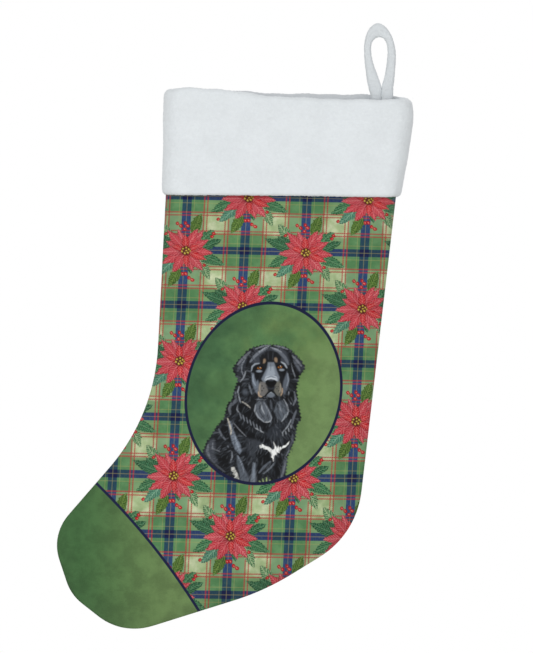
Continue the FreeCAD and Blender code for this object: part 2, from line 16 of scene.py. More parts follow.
import bmesh
import bpy
import numpy as np
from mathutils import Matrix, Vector

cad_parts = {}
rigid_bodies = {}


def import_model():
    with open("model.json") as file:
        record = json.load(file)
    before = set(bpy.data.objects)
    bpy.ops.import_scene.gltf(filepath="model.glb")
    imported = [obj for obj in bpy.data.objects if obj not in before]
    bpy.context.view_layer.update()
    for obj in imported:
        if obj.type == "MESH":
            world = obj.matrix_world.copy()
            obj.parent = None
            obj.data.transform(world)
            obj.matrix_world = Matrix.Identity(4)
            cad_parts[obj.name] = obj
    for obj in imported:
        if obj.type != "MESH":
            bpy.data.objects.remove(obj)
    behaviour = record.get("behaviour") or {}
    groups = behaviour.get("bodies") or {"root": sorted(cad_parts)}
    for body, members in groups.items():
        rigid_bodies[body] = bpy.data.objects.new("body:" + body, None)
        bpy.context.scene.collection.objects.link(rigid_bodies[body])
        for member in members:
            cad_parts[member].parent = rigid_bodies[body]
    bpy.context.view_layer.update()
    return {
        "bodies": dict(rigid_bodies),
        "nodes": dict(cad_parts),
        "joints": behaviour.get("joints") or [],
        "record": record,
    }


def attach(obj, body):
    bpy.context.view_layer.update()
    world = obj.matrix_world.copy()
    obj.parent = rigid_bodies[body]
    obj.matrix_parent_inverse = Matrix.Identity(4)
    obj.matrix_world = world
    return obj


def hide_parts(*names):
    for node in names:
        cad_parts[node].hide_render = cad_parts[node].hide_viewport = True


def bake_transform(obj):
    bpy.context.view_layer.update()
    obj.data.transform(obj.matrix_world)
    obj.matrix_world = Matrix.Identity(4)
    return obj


LOG = logging.getLogger("stocking")
MM = 0.001
Tone = tuple[float, float, float, float]
Point = tuple[float, float]
Socket = bpy.types.NodeSocket
Tree = bpy.types.NodeTree
Object = bpy.types.Object
Material = bpy.types.Material
BMesh = bmesh.types.BMesh


class Side(Enum):
    """A half of the stocking. The value is the half's direction along Y."""

    FRONT = -1.0
    BACK = 1.0


def tone(code: str) -> Tone:
    """Turns a six-digit display colour into the linear colour that shaders use.

    Args:
        code: the colour as six hexadecimal digits.

    Returns:
        The colour with an alpha of one.
    """
    parts = [int(code[i:i + 2], 16) / 255.0 for i in (0, 2, 4)]
    flat = [p / 12.92 if p <= 0.04045 else ((p + 0.055) / 1.055) ** 2.4 for p in parts]
    return flat[0], flat[1], flat[2], 1.0


def ease(value: np.ndarray, low: float, high: float) -> np.ndarray:
    """Smooth step of numbers, from 0 at low to 1 at high."""
    part = np.clip((value - low) / (high - low), 0.0, 1.0)
    return part * part * (3.0 - 2.0 * part)


class Graph:
    """Adds nodes to one shader tree and joins them up."""

    def __init__(self, tree: Tree) -> None:
        """Keeps the tree that nodes go into."""
        self.tree = tree

    def add(self, kind: str, inputs: dict | None = None, **settings: object) -> bpy.types.Node:
        """Adds one node.

        Args:
            kind: the node's Blender type.
            inputs: a value or a socket for each input, by name or by number.
            settings: the node's own properties.

        Returns:
            The new node.
        """
        node = self.tree.nodes.new(kind)
        for name, value in settings.items():
            setattr(node, name, value)
        self.feed_all(node, inputs or {})
        return node

    def feed_all(self, node: bpy.types.Node, inputs: dict) -> None:
        """Feeds several inputs of a node, given by name or by number."""
        for key, value in inputs.items():
            self.feed(node.inputs[key], value)

    def feed(self, socket: Socket, value: object) -> None:
        """Links a socket to an input, or sets the input's own value.

        Args:
            socket: the input.
            value: another node's output, or a plain value.
        """
        if isinstance(value, Socket):
            self.tree.links.new(value, socket)
        else:
            socket.default_value = value

    def math(self, how: str, a: object, b: object = 0.0, c: object = 0.0) -> Socket:
        """Adds a Math node with up to three operands, and gives its output."""
        return self.add("ShaderNodeMath", {0: a, 1: b, 2: c}, operation=how).outputs[0]

    def vector(self, how: str, a: object, b: object = (0.0, 0.0, 0.0)) -> Socket:
        """Adds a Vector Math node with two vectors, and gives its vector output."""
        return self.add("ShaderNodeVectorMath", {0: a, 1: b}, operation=how).outputs[0]

    def dot(self, a: object, b: object) -> Socket:
        """How far one vector reaches along another."""
        return self.add("ShaderNodeVectorMath", {0: a, 1: b}, operation="DOT_PRODUCT").outputs["Value"]

    def length(self, vector: object) -> Socket:
        """A vector's length."""
        return self.add("ShaderNodeVectorMath", {0: vector}, operation="LENGTH").outputs["Value"]

    def split(self, vector: object) -> list[Socket]:
        """Splits a vector into its three parts."""
        return list(self.add("ShaderNodeSeparateXYZ", {0: vector}).outputs)

    def join(self, x: object, y: object, z: object = 0.0) -> Socket:
        """Joins three numbers into a vector."""
        return self.add("ShaderNodeCombineXYZ", {0: x, 1: y, 2: z}).outputs[0]

    def mix(self, part: object, a: object, b: object) -> Socket:
        """Mixes two colours: a underneath, and b on top as far as part says."""
        return self.add("ShaderNodeMix", {0: part, 6: a, 7: b}, data_type="RGBA").outputs[2]

    def tint(self, colour: object, level: Socket) -> Socket:
        """Multiplies a colour by one brightness."""
        return self.vector("MULTIPLY", colour, self.join(level, level, level))

    def bump(self, strength: float, distance: float, height: Socket) -> Socket:
        """A normal that follows a height, with its reach in metres."""
        inputs = {"Strength": strength, "Distance": distance, "Height": height}
        return self.add("ShaderNodeBump", inputs).outputs[0]

    def step(self, value: object, low: float, high: float, a: float = 0.0, b: float = 1.0) -> Socket:
        """Smoothly steps a number from a to b as it goes from low to high."""
        inputs = {0: value, 1: low, 2: high, 3: a, 4: b}
        return self.add("ShaderNodeMapRange", inputs, interpolation_type="SMOOTHSTEP").outputs[0]

    def noise(self, place: Socket, scale: float, detail: float = 2.0, rough: float = 0.5) -> Socket:
        """A noise texture about 0.5, with scale in cells per unit of the coordinates."""
        inputs = {"Vector": place, "Scale": scale, "Detail": detail, "Roughness": rough}
        return self.add("ShaderNodeTexNoise", inputs).outputs[0]

    def ramp(self, value: object, stops: list[tuple[float, Tone]]) -> Socket:
        """Adds a colour ramp.

        Args:
            value: where to read the ramp, from 0 to 1.
            stops: positions and colours.

        Returns:
            The ramp's colour.
        """
        node = self.add("ShaderNodeValToRGB", {0: value})
        elements = node.color_ramp.elements
        while len(elements) < len(stops):
            elements.new(0.5)
        for element, (position, colour) in zip(elements, stops):
            element.position = position
            element.color = colour
        return node.outputs[0]

    def use(self, group: Tree, inputs: dict | None = None) -> bpy.types.Node:
        """Places a node group and feeds its inputs."""
        return self.add("ShaderNodeGroup", inputs, node_tree=group)


class Group(Graph):
    """A shader node group with named inputs and outputs."""

    KINDS = {"value": "NodeSocketFloat", "vector": "NodeSocketVector", "colour": "NodeSocketColor"}

    def __init__(self, name: str, inputs: dict[str, str], outputs: dict[str, str]) -> None:
        """Makes the group and its sockets.

        Args:
            name: the group's name.
            inputs: kind of each input by name: value, vector or colour.
            outputs: kind of each output by name.
        """
        super().__init__(bpy.data.node_groups.new(name, "ShaderNodeTree"))
        for title, kind in inputs.items():
            self.tree.interface.new_socket(title, in_out="INPUT", socket_type=self.KINDS[kind])
        for title, kind in outputs.items():
            self.tree.interface.new_socket(title, in_out="OUTPUT", socket_type=self.KINDS[kind])
        self.given = self.tree.nodes.new("NodeGroupInput").outputs
        self.result = self.tree.nodes.new("NodeGroupOutput").inputs

    def put(self, title: str, value: object) -> None:
        """Feeds one output of the group."""
        self.feed(self.result[title], value)


class Effects:
    """The shader groups that the finishes share, each built once."""

    def __init__(self) -> None:
        """Builds every group in order of use."""
        self.place = self.make_place()
        self.weave = self.make_weave()
        self.wash = self.make_wash()
        self.pile = self.make_pile()
        self.blade = self.make_blade()
        self.spot = self.make_spot()
        self.plaid = self.make_plaid()
        self.poinsettia = self.make_poinsettia()
        self.print = self.make_print()

    def make_place(self) -> Tree:
        """Object coordinates in millimetres, and flat on the cloth's face.

        Returns:
            The group.
        """
        g = Group("cloth_place", {}, {"Solid": "vector", "Flat": "vector"})
        spot = g.add("ShaderNodeTexCoord").outputs["Object"]
        solid = g.vector("MULTIPLY", spot, (1000.0, 1000.0, 1000.0))
        x, _, z = g.split(solid)
        g.put("Solid", solid)
        g.put("Flat", g.join(x, z))
        return g.tree

    def make_weave(self) -> Tree:
        """Plain weave: threads that pass over and under each other, with painted shade where each thread
        dips.

        Returns:
            The group.
        """
        g = Group("plain_weave", {"Place": "vector", "Pitch": "value"}, {"Height": "value", "Shade": "value"})
        x, y, _ = g.split(g.given["Place"])
        turn = g.math("DIVIDE", math.pi, g.given["Pitch"])
        warp = g.math("SINE", g.math("MULTIPLY", x, turn))
        weft = g.math("SINE", g.math("MULTIPLY", y, turn))
        over = g.step(g.math("MULTIPLY", warp, weft), -0.25, 0.25)
        across = g.math("ABSOLUTE", warp)
        along = g.math("ABSOLUTE", weft)
        height = g.add("ShaderNodeMix", {0: over, 2: across, 3: along}, data_type="FLOAT").outputs[0]
        slub = g.noise(g.given["Place"], 0.35, 3.0, 0.6)
        g.put("Height", g.math("ADD", height, g.math("MULTIPLY", slub, 0.5)))
        # painted shade: darker where the threads dip under, lighter on their crests
        g.put("Shade", g.math("MULTIPLY_ADD", height, 0.16, 0.88))
        return g.tree

    def make_wash(self) -> Tree:
        """Water-colour mottling: soft pools of stronger and weaker colour, with a paper grain.

        Returns:
            The group.
        """
        inputs = {"Place": "vector", "Colour": "colour", "Depth": "value"}
        g = Group("colour_wash", inputs, {"Colour": "colour"})
        pool = g.noise(g.given["Place"], 0.055, 4.0, 0.62)
        grain = g.noise(g.given["Place"], 1.3, 2.0, 0.6)
        blot = g.step(pool, 0.34, 0.66, -1.0, 1.0)
        speck = g.step(grain, 0.3, 0.7, -0.5, 0.5)
        lift = g.math("MULTIPLY", g.math("ADD", blot, speck), g.given["Depth"])
        g.put("Colour", g.tint(g.given["Colour"], g.math("ADD", lift, 1.0)))
        return g.tree

    def make_pile(self) -> Tree:
        """Short plush pile: clumps of fibres with painted shade in the gaps between them, and random tone.

        Returns:
            The group.
        """
        g = Group("plush_pile", {"Place": "vector"}, {"Height": "value", "Shade": "value"})
        clump = g.noise(g.given["Place"], 0.32, 3.0, 0.6)
        fibre = g.noise(g.given["Place"], 1.7, 2.0, 0.7)
        nap = g.noise(g.given["Place"], 0.045, 2.0, 0.5)
        g.put("Height", g.math("MULTIPLY_ADD", fibre, 0.6, g.math("MULTIPLY", clump, 0.8)))
        # painted shade in the gaps between clumps, with random tone from the nap and the fibres
        both = g.math("ADD", g.step(clump, 0.3, 0.7, -0.018, 0.014), g.step(nap, 0.3, 0.7, -0.022, 0.012))
        g.put("Shade", g.math("ADD", both, g.step(fibre, 0.3, 0.7, 0.975, 1.012)))
        return g.tree

    def make_blade(self) -> Tree:
        """One pointed petal or leaf laid over the colour below it.

        Returns:
            The group.
        """
        inputs = {
            "Place": "vector", "Base": "vector", "Ahead": "vector", "Aside": "vector", "Length": "value",
            "Width": "value", "Jag": "value", "Grain": "value", "Body": "colour", "Edge": "colour",
            "Vein": "colour", "Under": "colour",
        }
        g = Group("blade", inputs, {"Colour": "colour"})
        given = g.given
        local = g.vector("SUBTRACT", given["Place"], given["Base"])
        along = g.dot(local, given["Ahead"])
        across = g.dot(local, given["Aside"])
        part = g.math("DIVIDE", along, given["Length"])
        inside = g.math("MINIMUM", g.math("MAXIMUM", part, 0.0001), 0.9999)
        swell = g.math("MULTIPLY", g.math("POWER", inside, 0.72), g.math("SUBTRACT", 1.0, inside))
        half = g.math("MULTIPLY", g.math("MULTIPLY", swell, 3.15), given["Width"])
        wave = g.math("SINE", g.math("MULTIPLY", along, 2.6))
        rough = g.math("MULTIPLY", g.math("MULTIPLY", wave, given["Jag"]), swell)
        reach = g.math("SUBTRACT", g.math("ADD", half, rough), g.math("ABSOLUTE", across))
        mask = g.step(reach, 0.0, 0.3)
        aside = g.math("ABSOLUTE", across)
        vein = g.step(aside, 0.38, 0.1)
        rib_place = g.math("SUBTRACT", along, g.math("MULTIPLY", aside, 1.15))
        rib = g.step(g.math("SINE", g.math("MULTIPLY", rib_place, 2.7)), 0.2, 1.0, 0.0, 0.5)
        edge = g.step(reach, 1.15, 0.15, 0.0, 0.9)
        root = g.step(part, 0.42, 0.05, 0.0, 0.8)
        dark = g.math("MAXIMUM", g.math("MAXIMUM", edge, root), given["Grain"])
        fill = g.mix(dark, given["Body"], given["Edge"])
        fill = g.mix(g.math("MAXIMUM", g.math("MULTIPLY", vein, 0.6), rib), fill, given["Vein"])
        g.put("Colour", g.mix(mask, given["Under"], fill))
        return g.tree

    def make_spot(self) -> Tree:
        """Round berries or beads laid over the colour below them, with a light middle and a dark rim.

        Returns:
            The group.
        """
        inputs = {"Reach": "value", "Radius": "value", "Body": "colour", "Under": "colour"}
        g = Group("bead", inputs, {"Colour": "colour"})
        part = g.math("DIVIDE", g.given["Reach"], g.given["Radius"])
        mask = g.step(part, 1.1, 0.85)
        rim = g.step(part, 0.5, 1.0, 0.0, 0.6)
        fill = g.mix(rim, g.given["Body"], (0.05, 0.004, 0.006, 1.0))
        fill = g.mix(g.step(part, 0.42, 0.1, 0.0, 0.4), fill, (0.85, 0.6, 0.45, 1.0))
        g.put("Colour", g.mix(mask, g.given["Under"], fill))
        return g.tree

    def make_plaid(self) -> Tree:
        """Plaid: green and navy bands with fine red and pale lines, in both directions.

        Returns:
            The group.
        """
        g = Group("plaid", {"U": "value", "V": "value", "Place": "vector"}, {"Colour": "colour"})
        place = g.given["Place"]
        u = g.math("ABSOLUTE", g.given["U"])
        v = g.math("ABSOLUTE", g.given["V"])
        mottle = g.noise(place, 0.085, 3.0, 0.6)
        ground = g.ramp(mottle, [(0.30, tone("95ad79")), (0.5, tone("b3c494")), (0.7, tone("d3d9b4"))])
        shift = g.math("MULTIPLY_ADD", mottle, 5.0, -2.5)
        up = g.step(g.math("ADD", u, shift), 17.4, 13.2, 0.0, 0.8)
        flat = g.step(g.math("ADD", v, shift), 16.6, 12.4, 0.0, 0.82)
        crossed = g.math("MULTIPLY", g.math("MULTIPLY", up, flat), g.step(mottle, 0.3, 0.62))
        colour = g.mix(up, ground, tone("6c976c"))
        colour = g.mix(flat, colour, tone("64925f"))
        colour = g.mix(crossed, colour, tone("437848"))
        fleck = g.noise(g.vector("MULTIPLY", place, (1.0, 0.35, 1.0)), 1.1, 2.0, 0.7)
        strong = g.step(fleck, 0.25, 0.6, 0.8, 0.97)
        blue = g.mix(flat, tone("213c74"), tone("1d4152"))
        colour = g.mix(g.math("MULTIPLY", g.step(u, 4.2, 3.6), strong), colour, blue)
        blue = g.mix(g.step(u, 4.6, 3.6), g.mix(up, tone("1f3068"), tone("1b3c50")), tone("0b1146"))
        colour = g.mix(g.math("MULTIPLY", g.step(v, 3.6, 3.0), strong), colour, blue)
        twill = g.math("SINE", g.math("MULTIPLY", g.math("ADD", g.given["U"], g.given["V"]), 3.4))
        dots = g.step(twill, -0.8, 0.6, 0.42, 0.95)
        for side, line in ((u, 14.8), (u, 17.6), (v, 14.4), (v, 17.0)):
            away = g.math("ABSOLUTE", g.math("SUBTRACT", side, line))
            colour = g.mix(g.math("MULTIPLY", g.step(away, 0.85, 0.35), dots), colour, tone("b02a35"))
        for side, line, strength in ((u, 0.0, 0.34), (u, 6.2, 0.3), (v, 0.0, 0.34), (v, 6.1, 0.3)):
            away = g.math("ABSOLUTE", g.math("SUBTRACT", side, line))
            colour = g.mix(g.step(away, 0.5, 0.15, 0.0, strength), colour, tone("b3a967"))
        g.put("Colour", colour)
        return g.tree

    def make_poinsettia(self) -> Tree:
        """A red poinsettia with holly leaves and berries, painted over the colour below it.

        Returns:
            The group.
        """
        g = Group("poinsettia", {"Place": "vector", "Under": "colour"}, {"Colour": "colour"})
        bend = g.noise(g.given["Place"], 0.35, 1.0, 0.5)
        shift = g.math("MULTIPLY_ADD", bend, 2.6, -1.3)
        place = g.vector("ADD", g.given["Place"], g.join(shift, g.math("MULTIPLY", shift, -0.7)))
        speckle = g.noise(g.given["Place"], 0.85, 3.0, 0.7)
        grain = g.step(speckle, 0.5, 0.68, 0.0, 0.55)
        blot = g.step(speckle, 0.4, 0.6, 0.0, 0.95)
        colour = g.given["Under"]
        for blade in LEAVES:
            colour = g.use(self.blade, blade.sockets(place, blot, colour)).outputs[0]
        colour = self.beads(g, place, BERRIES, colour)
        for blade in PETALS:
            colour = g.use(self.blade, blade.sockets(place, grain, colour)).outputs[0]
        heart = g.step(g.length(place), 5.2, 3.4, 0.0, 0.85)
        colour = g.mix(heart, colour, tone("4a1a12"))
        g.put("Colour", self.beads(g, place, STAMENS, colour))
        return g.tree

    def beads(self, g: Graph, place: Socket, cluster: Beads, under: Socket) -> Socket:
        """Lays a cluster of beads over the colour below them.

        Args:
            g: the graph to add to.
            place: coordinates about the flower's centre.
            cluster: the beads.
            under: the colour below.

        Returns:
            The colour with the beads.
        """
        reach = None
        for x, y in cluster.centres:
            node = g.add("ShaderNodeVectorMath", {0: place, 1: (x, y, 0.0)}, operation="DISTANCE")
            gap = node.outputs["Value"]
            reach = gap if reach is None else g.math("MINIMUM", reach, gap)
        inputs = {"Reach": reach, "Radius": cluster.radius, "Body": tone(cluster.colour), "Under": under}
        return g.use(self.spot, inputs).outputs[0]

    def make_print(self) -> Tree:
        """The cloth's whole print: the plaid, and a poinsettia on every other crossing.

        Returns:
            The group.
        """
        g = Group("holiday_print", {"Place": "vector"}, {"Colour": "colour"})
        repeat = Repeat()
        x, z, _ = g.split(g.given["Place"])
        stretch = g.math("POWER", g.math("ADD", z, repeat.calm), 2.0)
        z = g.math("ADD", g.math("MULTIPLY_ADD", stretch, repeat.stretch, z), -repeat.start[1])
        x = g.math("ADD", x, -repeat.start[0])
        (mx, mz), (nx, nz) = repeat.inverse()
        column = g.math("MULTIPLY_ADD", x, mx, g.math("MULTIPLY", z, mz))
        row = g.math("MULTIPLY_ADD", x, nx, g.math("MULTIPLY", z, nz))
        u = g.math("MULTIPLY", g.math("SUBTRACT", column, g.math("ROUND", column)), repeat.across_length())
        v = g.math("MULTIPLY", g.math("SUBTRACT", row, g.math("ROUND", row)), repeat.down_length())
        u = g.math("ADD", u, repeat.bands[0])
        v = g.math("ADD", v, repeat.bands[1])
        plaid = g.use(self.plaid, {"U": u, "V": v, "Place": g.given["Place"]}).outputs[0]
        total = g.math("ROUND", g.math("MULTIPLY", g.math("ADD", column, row), 0.5))
        gap = g.math("ROUND", g.math("MULTIPLY", g.math("SUBTRACT", column, row), 0.5))
        right = g.math("SUBTRACT", column, g.math("ADD", total, gap))
        down = g.math("SUBTRACT", row, g.math("SUBTRACT", total, gap))
        local_x = g.math("MULTIPLY_ADD", right, repeat.across[0], g.math("MULTIPLY", down, repeat.down[0]))
        local_z = g.math("MULTIPLY_ADD", right, repeat.across[1], g.math("MULTIPLY", down, repeat.down[1]))
        colour = g.use(self.poinsettia, {"Place": g.join(local_x, local_z), "Under": plaid}).outputs[0]
        washed = g.use(self.wash, {"Place": g.given["Place"], "Colour": colour, "Depth": 0.085}).outputs[0]
        g.put("Colour", g.vector("MULTIPLY", washed, repeat.ink))
        return g.tree


@dataclass(frozen=True)
class Repeat:
    """The print's repeat on the flat cloth: where it starts, and one step across and one down.

    Args:
        start: a flower's centre.
        across: from one crossing of the plaid to the next across.
        down: from one crossing to the next below.
        calm: depth below the origin about which the rows are neither stretched nor closed up.
        stretch: how fast the rows' spacing changes with height.
        bands: the plaid's offset from the flowers' centres.
        ink: strength of the three colours of the whole print.
    """

    start: Point = (-63.4, -181.3)
    across: Point = (50.83, -1.01)
    down: Point = (-2.58, -47.84)
    calm: float = 280.0
    stretch: float = 0.00019
    bands: Point = (1.15, 0.75)
    ink: tuple[float, float, float] = (0.93, 0.94, 0.945)

    def inverse(self) -> tuple[tuple[float, float], tuple[float, float]]:
        """The two rows that turn a place into steps across and steps down.

        Returns:
            The row for steps across, and the row for steps down.
        """
        turn = self.across[0] * self.down[1] - self.down[0] * self.across[1]
        columns = (self.down[1] / turn, -self.down[0] / turn)
        rows = (-self.across[1] / turn, self.across[0] / turn)
        return columns, rows

    def across_length(self) -> float:
        """Length of one step across."""
        return math.hypot(*self.across)

    def down_length(self) -> float:
        """Length of one step down."""
        return math.hypot(*self.down)


@dataclass(frozen=True)
class Blade:
    """A petal or leaf: its base, direction in degrees, length, half width and colours."""

    x: float
    y: float
    angle: float
    length: float
    width: float
    body: str
    edge: str
    vein: str
    jag: float = 0.5

    def sockets(self, place: Socket, grain: Socket, under: Socket) -> dict:
        """The blade group's inputs.

        Args:
            place: coordinates about the flower's centre.
            grain: how blotted the paint is here.
            under: the colour below the blade.

        Returns:
            Values and sockets by input name.
        """
        turn = math.radians(self.angle)
        return {
            "Place": place, "Base": (self.x, self.y, 0.0), "Ahead": (math.cos(turn), math.sin(turn), 0.0),
            "Aside": (-math.sin(turn), math.cos(turn), 0.0), "Length": self.length, "Width": self.width,
            "Jag": self.jag, "Grain": grain, "Body": tone(self.body), "Edge": tone(self.edge),
            "Vein": tone(self.vein), "Under": under,
        }


@dataclass(frozen=True)
class Beads:
    """A cluster of round beads: their radius, colour and centres about the flower's own."""

    radius: float
    colour: str
    centres: list[Point]


BERRIES = Beads(1.6, "c32029", [
    (-7.2, 24.2), (-4.2, 22.0), (1.7, 21.9), (-0.5, 24.6), (-0.7, 18.8), (-17.3, 15.4), (-26.0, -18.9),
    (23.8, 15.2), (22.4, 12.4), (-2.9, -20.2), (-0.2, -20.2), (2.6, -23.8), (5.5, -25.7), (15.6, -13.0),
])
STAMENS = Beads(0.9, "c9b03a", [
    (0.2, 0.2), (2.3, 1.3), (-2.2, 1.5), (0.3, 2.7), (-1.0, -2.1), (1.8, -1.7), (-3.5, -0.5), (3.9, -0.4),
])


def petal(angle: float, length: float, width: float, tones: tuple[str, str, str]) -> Blade:
    """One petal that starts just off the flower's centre."""
    turn = math.radians(angle)
    return Blade(0.9 * math.cos(turn), 0.9 * math.sin(turn), angle, length, width, *tones)


def leaf(
    x: float, y: float, tip_x: float, tip_y: float, width: float, tones: tuple[str, str, str], jag: float
) -> Blade:
    """One leaf from its base to its tip."""
    angle = math.degrees(math.atan2(tip_y - y, tip_x - x))
    return Blade(x, y, angle, math.hypot(tip_x - x, tip_y - y), width, *tones, jag)


# colours of body, edge and vein
RED = ("c23540", "72101f", "e58e90")
ROSE = ("c43d49", "841826", "e79c9c")
BRIGHT = ("c7232c", "7a0c18", "e88d88")
OLIVE = ("567a30", "24421a", "90a85a")
DARK = ("34704c", "10301c", "76a377")
GRASS = ("3f7f52", "123a24", "86b283")
HOLLY = ("6ba06c", "1a4a2c", "d2dcae")
BLUISH = ("559175", "1b4a38", "a0c6a8")
LEAVES = [
    leaf(5.2, 15.4, 13.2, 33.2, 4.8, OLIVE, 0.5),
    leaf(-12.0, 10.0, -23.4, 25.8, 5.0, HOLLY, 1.8),
    leaf(-11.5, 6.0, -24.0, 15.0, 3.1, DARK, 0.6),
    leaf(-8.0, 1.5, -35.0, 12.6, 5.0, DARK, 1.3),
    leaf(-8.0, -1.0, -33.0, -12.8, 4.8, GRASS, 1.4),
    leaf(-8.5, -6.6, -25.2, -21.8, 4.7, BLUISH, 1.2),
    leaf(-5.0, -15.4, -15.2, -32.0, 4.6, OLIVE, 0.5),
    leaf(0.8, -8.0, 4.8, -21.2, 2.7, DARK, 0.5),
    leaf(10.5, -5.0, 20.4, -26.0, 4.7, HOLLY, 1.8),
    leaf(9.0, -2.0, 33.6, -13.0, 4.8, GRASS, 1.3),
    leaf(9.0, 1.0, 31.0, 9.8, 4.4, DARK, 1.3),
    leaf(8.5, 6.0, 24.4, 18.4, 4.4, GRASS, 1.2),
]
PETALS = [
    petal(49.0, 22.8, 4.0, ROSE),
    petal(109.0, 19.8, 3.6, ROSE),
    petal(153.0, 18.8, 3.8, RED),
    petal(208.0, 23.2, 4.5, RED),
    petal(288.0, 19.2, 4.0, RED),
    petal(-5.0, 22.4, 4.4, RED),
    petal(26.0, 21.4, 4.2, RED),
    petal(62.5, 21.4, 4.5, RED),
    petal(130.5, 23.4, 4.4, RED),
    petal(182.0, 23.0, 4.2, ROSE),
    petal(239.5, 21.6, 4.6, RED),
    petal(309.6, 22.0, 4.4, ROSE),
    petal(92.0, 13.6, 3.4, BRIGHT),
    petal(335.0, 18.6, 3.4, BRIGHT),
    petal(272.0, 13.8, 3.2, BRIGHT),
    petal(158.0, 13.0, 2.9, BRIGHT),
    petal(22.0, 13.0, 2.9, BRIGHT),
]


@dataclass(frozen=True)
class Portrait:
    """The oval picture on the front: its centre, half sizes, border, and how far its top leans aside."""

    centre: Point = (-99.06, -302.2)
    half: Point = (66.9, 78.0)
    border: float = 2.3
    lean: float = 0.08


@dataclass(frozen=True)
class ToeField:
    """The plain green toe: inside of a large circle, with a navy line along it."""

    centre: Point = (-584.4, -743.9)
    radius: float = 500.9
    line: float = 2.3
    dark_side: float = -262.0
    light_side: float = -170.0


@dataclass(frozen=True)
class PrintedCloth:
    """Finish of the printed cloth.

    Args:
        portrait: whether this side carries the oval picture.
        pitch: thread spacing of the weave.
        rough: surface roughness.
    """

    portrait: bool = True
    pitch: float = 0.45
    rough: float = 0.88

    def make(self, effects: Effects, name: str) -> Material:
        """Builds the material.

        Args:
            effects: the shared shader groups.
            name: the material's name.

        Returns:
            The material.
        """
        material, g, shader = blank(name)
        place = g.use(effects.place).outputs
        colour = g.use(effects.print, {"Place": place["Flat"]}).outputs[0]
        colour = self.toe(g, effects, place["Flat"], colour)
        if self.portrait:
            colour = self.oval(g, effects, place["Flat"], colour)
        weave = g.use(effects.weave, {"Place": place["Flat"], "Pitch": self.pitch}).outputs
        g.feed_all(shader, {
            "Base Color": g.tint(colour, weave["Shade"]), "Roughness": self.rough, "Specular IOR Level": 0.25,
            "Sheen Weight": 0.06, "Normal": g.bump(0.35, 0.00012, weave["Height"]),
        })
        return material

    def toe(self, g: Graph, effects: Effects, place: Socket, under: Socket) -> Socket:
        """Lays the plain green toe over the print.

        Args:
            g: the material's graph.
            effects: the shared groups.
            place: flat coordinates.
            under: the print's colour.

        Returns:
            The colour with the toe.
        """
        toe = ToeField()
        reach = g.length(g.vector("SUBTRACT", place, (*toe.centre, 0.0)))
        away = g.math("SUBTRACT", toe.radius, reach)
        across = g.step(g.split(place)[0], toe.dark_side, toe.light_side)
        light = g.mix(across, tone("42683d"), tone("6a8552"))
        green = g.use(effects.wash, {"Place": place, "Colour": light, "Depth": 0.16}).outputs[0]
        colour = g.mix(g.step(away, -0.25, 0.25), under, green)
        line = g.step(g.math("ABSOLUTE", away), toe.line * 0.5 + 0.2, toe.line * 0.5 - 0.2)
        return g.mix(line, colour, tone("171d40"))

    def oval(self, g: Graph, effects: Effects, place: Socket, under: Socket) -> Socket:
        """Lays the oval picture over the print.

        Args:
            g: the material's graph.
            effects: the shared groups.
            place: flat coordinates.
            under: the colour so far.

        Returns:
            The colour with the oval, its painted ground and the painted dog.
        """
        frame = Portrait()
        local = g.vector("SUBTRACT", place, (*frame.centre, 0.0))
        level = g.dot(local, (0.0, 1.0, 0.0))
        upright = g.vector("ADD", local, g.join(g.math("MULTIPLY", level, -frame.lean), 0.0))
        scaled = g.vector("DIVIDE", upright, (*frame.half, 1.0))
        reach = g.length(scaled)
        x, y, _ = g.split(scaled)
        slope = g.math("MULTIPLY_ADD", x, 0.5, g.math("MULTIPLY", y, -0.18))
        pools = g.noise(place, 0.03, 4.0, 0.6)
        where = g.math("ADD", slope, g.math("MULTIPLY_ADD", pools, 1.1, -0.05))
        stops = [(0.05, tone("426642")), (0.34, tone("54794c")), (0.6, tone("65824e")), (0.9, tone("708b57"))]
        ground = g.ramp(where, stops)
        ground = g.use(effects.wash, {"Place": place, "Colour": ground, "Depth": 0.13}).outputs[0]
        paint = g.add("ShaderNodeAttribute", attribute_name="portrait", attribute_type="GEOMETRY").outputs
        picture = g.mix(paint["Alpha"], ground, paint["Color"])
        thick = frame.border / frame.half[0]
        blur = 0.003
        inside = g.step(reach, 1.0 + blur, 1.0 - blur)
        clear = g.step(reach, 1.0 - thick + blur, 1.0 - thick - blur)
        framed = g.mix(clear, tone("15193a"), picture)
        return g.mix(inside, under, framed)


@dataclass(frozen=True)
class LiningCloth:
    """Finish of the plain inner lining."""

    colour: str = "e9e6dc"
    pitch: float = 0.4

    def make(self, effects: Effects, name: str) -> Material:
        """Builds the material.

        Args:
            effects: the shared shader groups.
            name: the material's name.

        Returns:
            The material.
        """
        material, g, shader = blank(name)
        place = g.use(effects.place).outputs["Flat"]
        weave = g.use(effects.weave, {"Place": place, "Pitch": self.pitch}).outputs
        washed = g.use(effects.wash, {"Place": place, "Colour": tone(self.colour), "Depth": 0.03}).outputs[0]
        g.feed_all(shader, {
            "Base Color": g.tint(washed, weave["Shade"]), "Roughness": 0.8, "Sheen Weight": 0.1,
            "Normal": g.bump(0.3, 0.0001, weave["Height"]),
        })
        return material


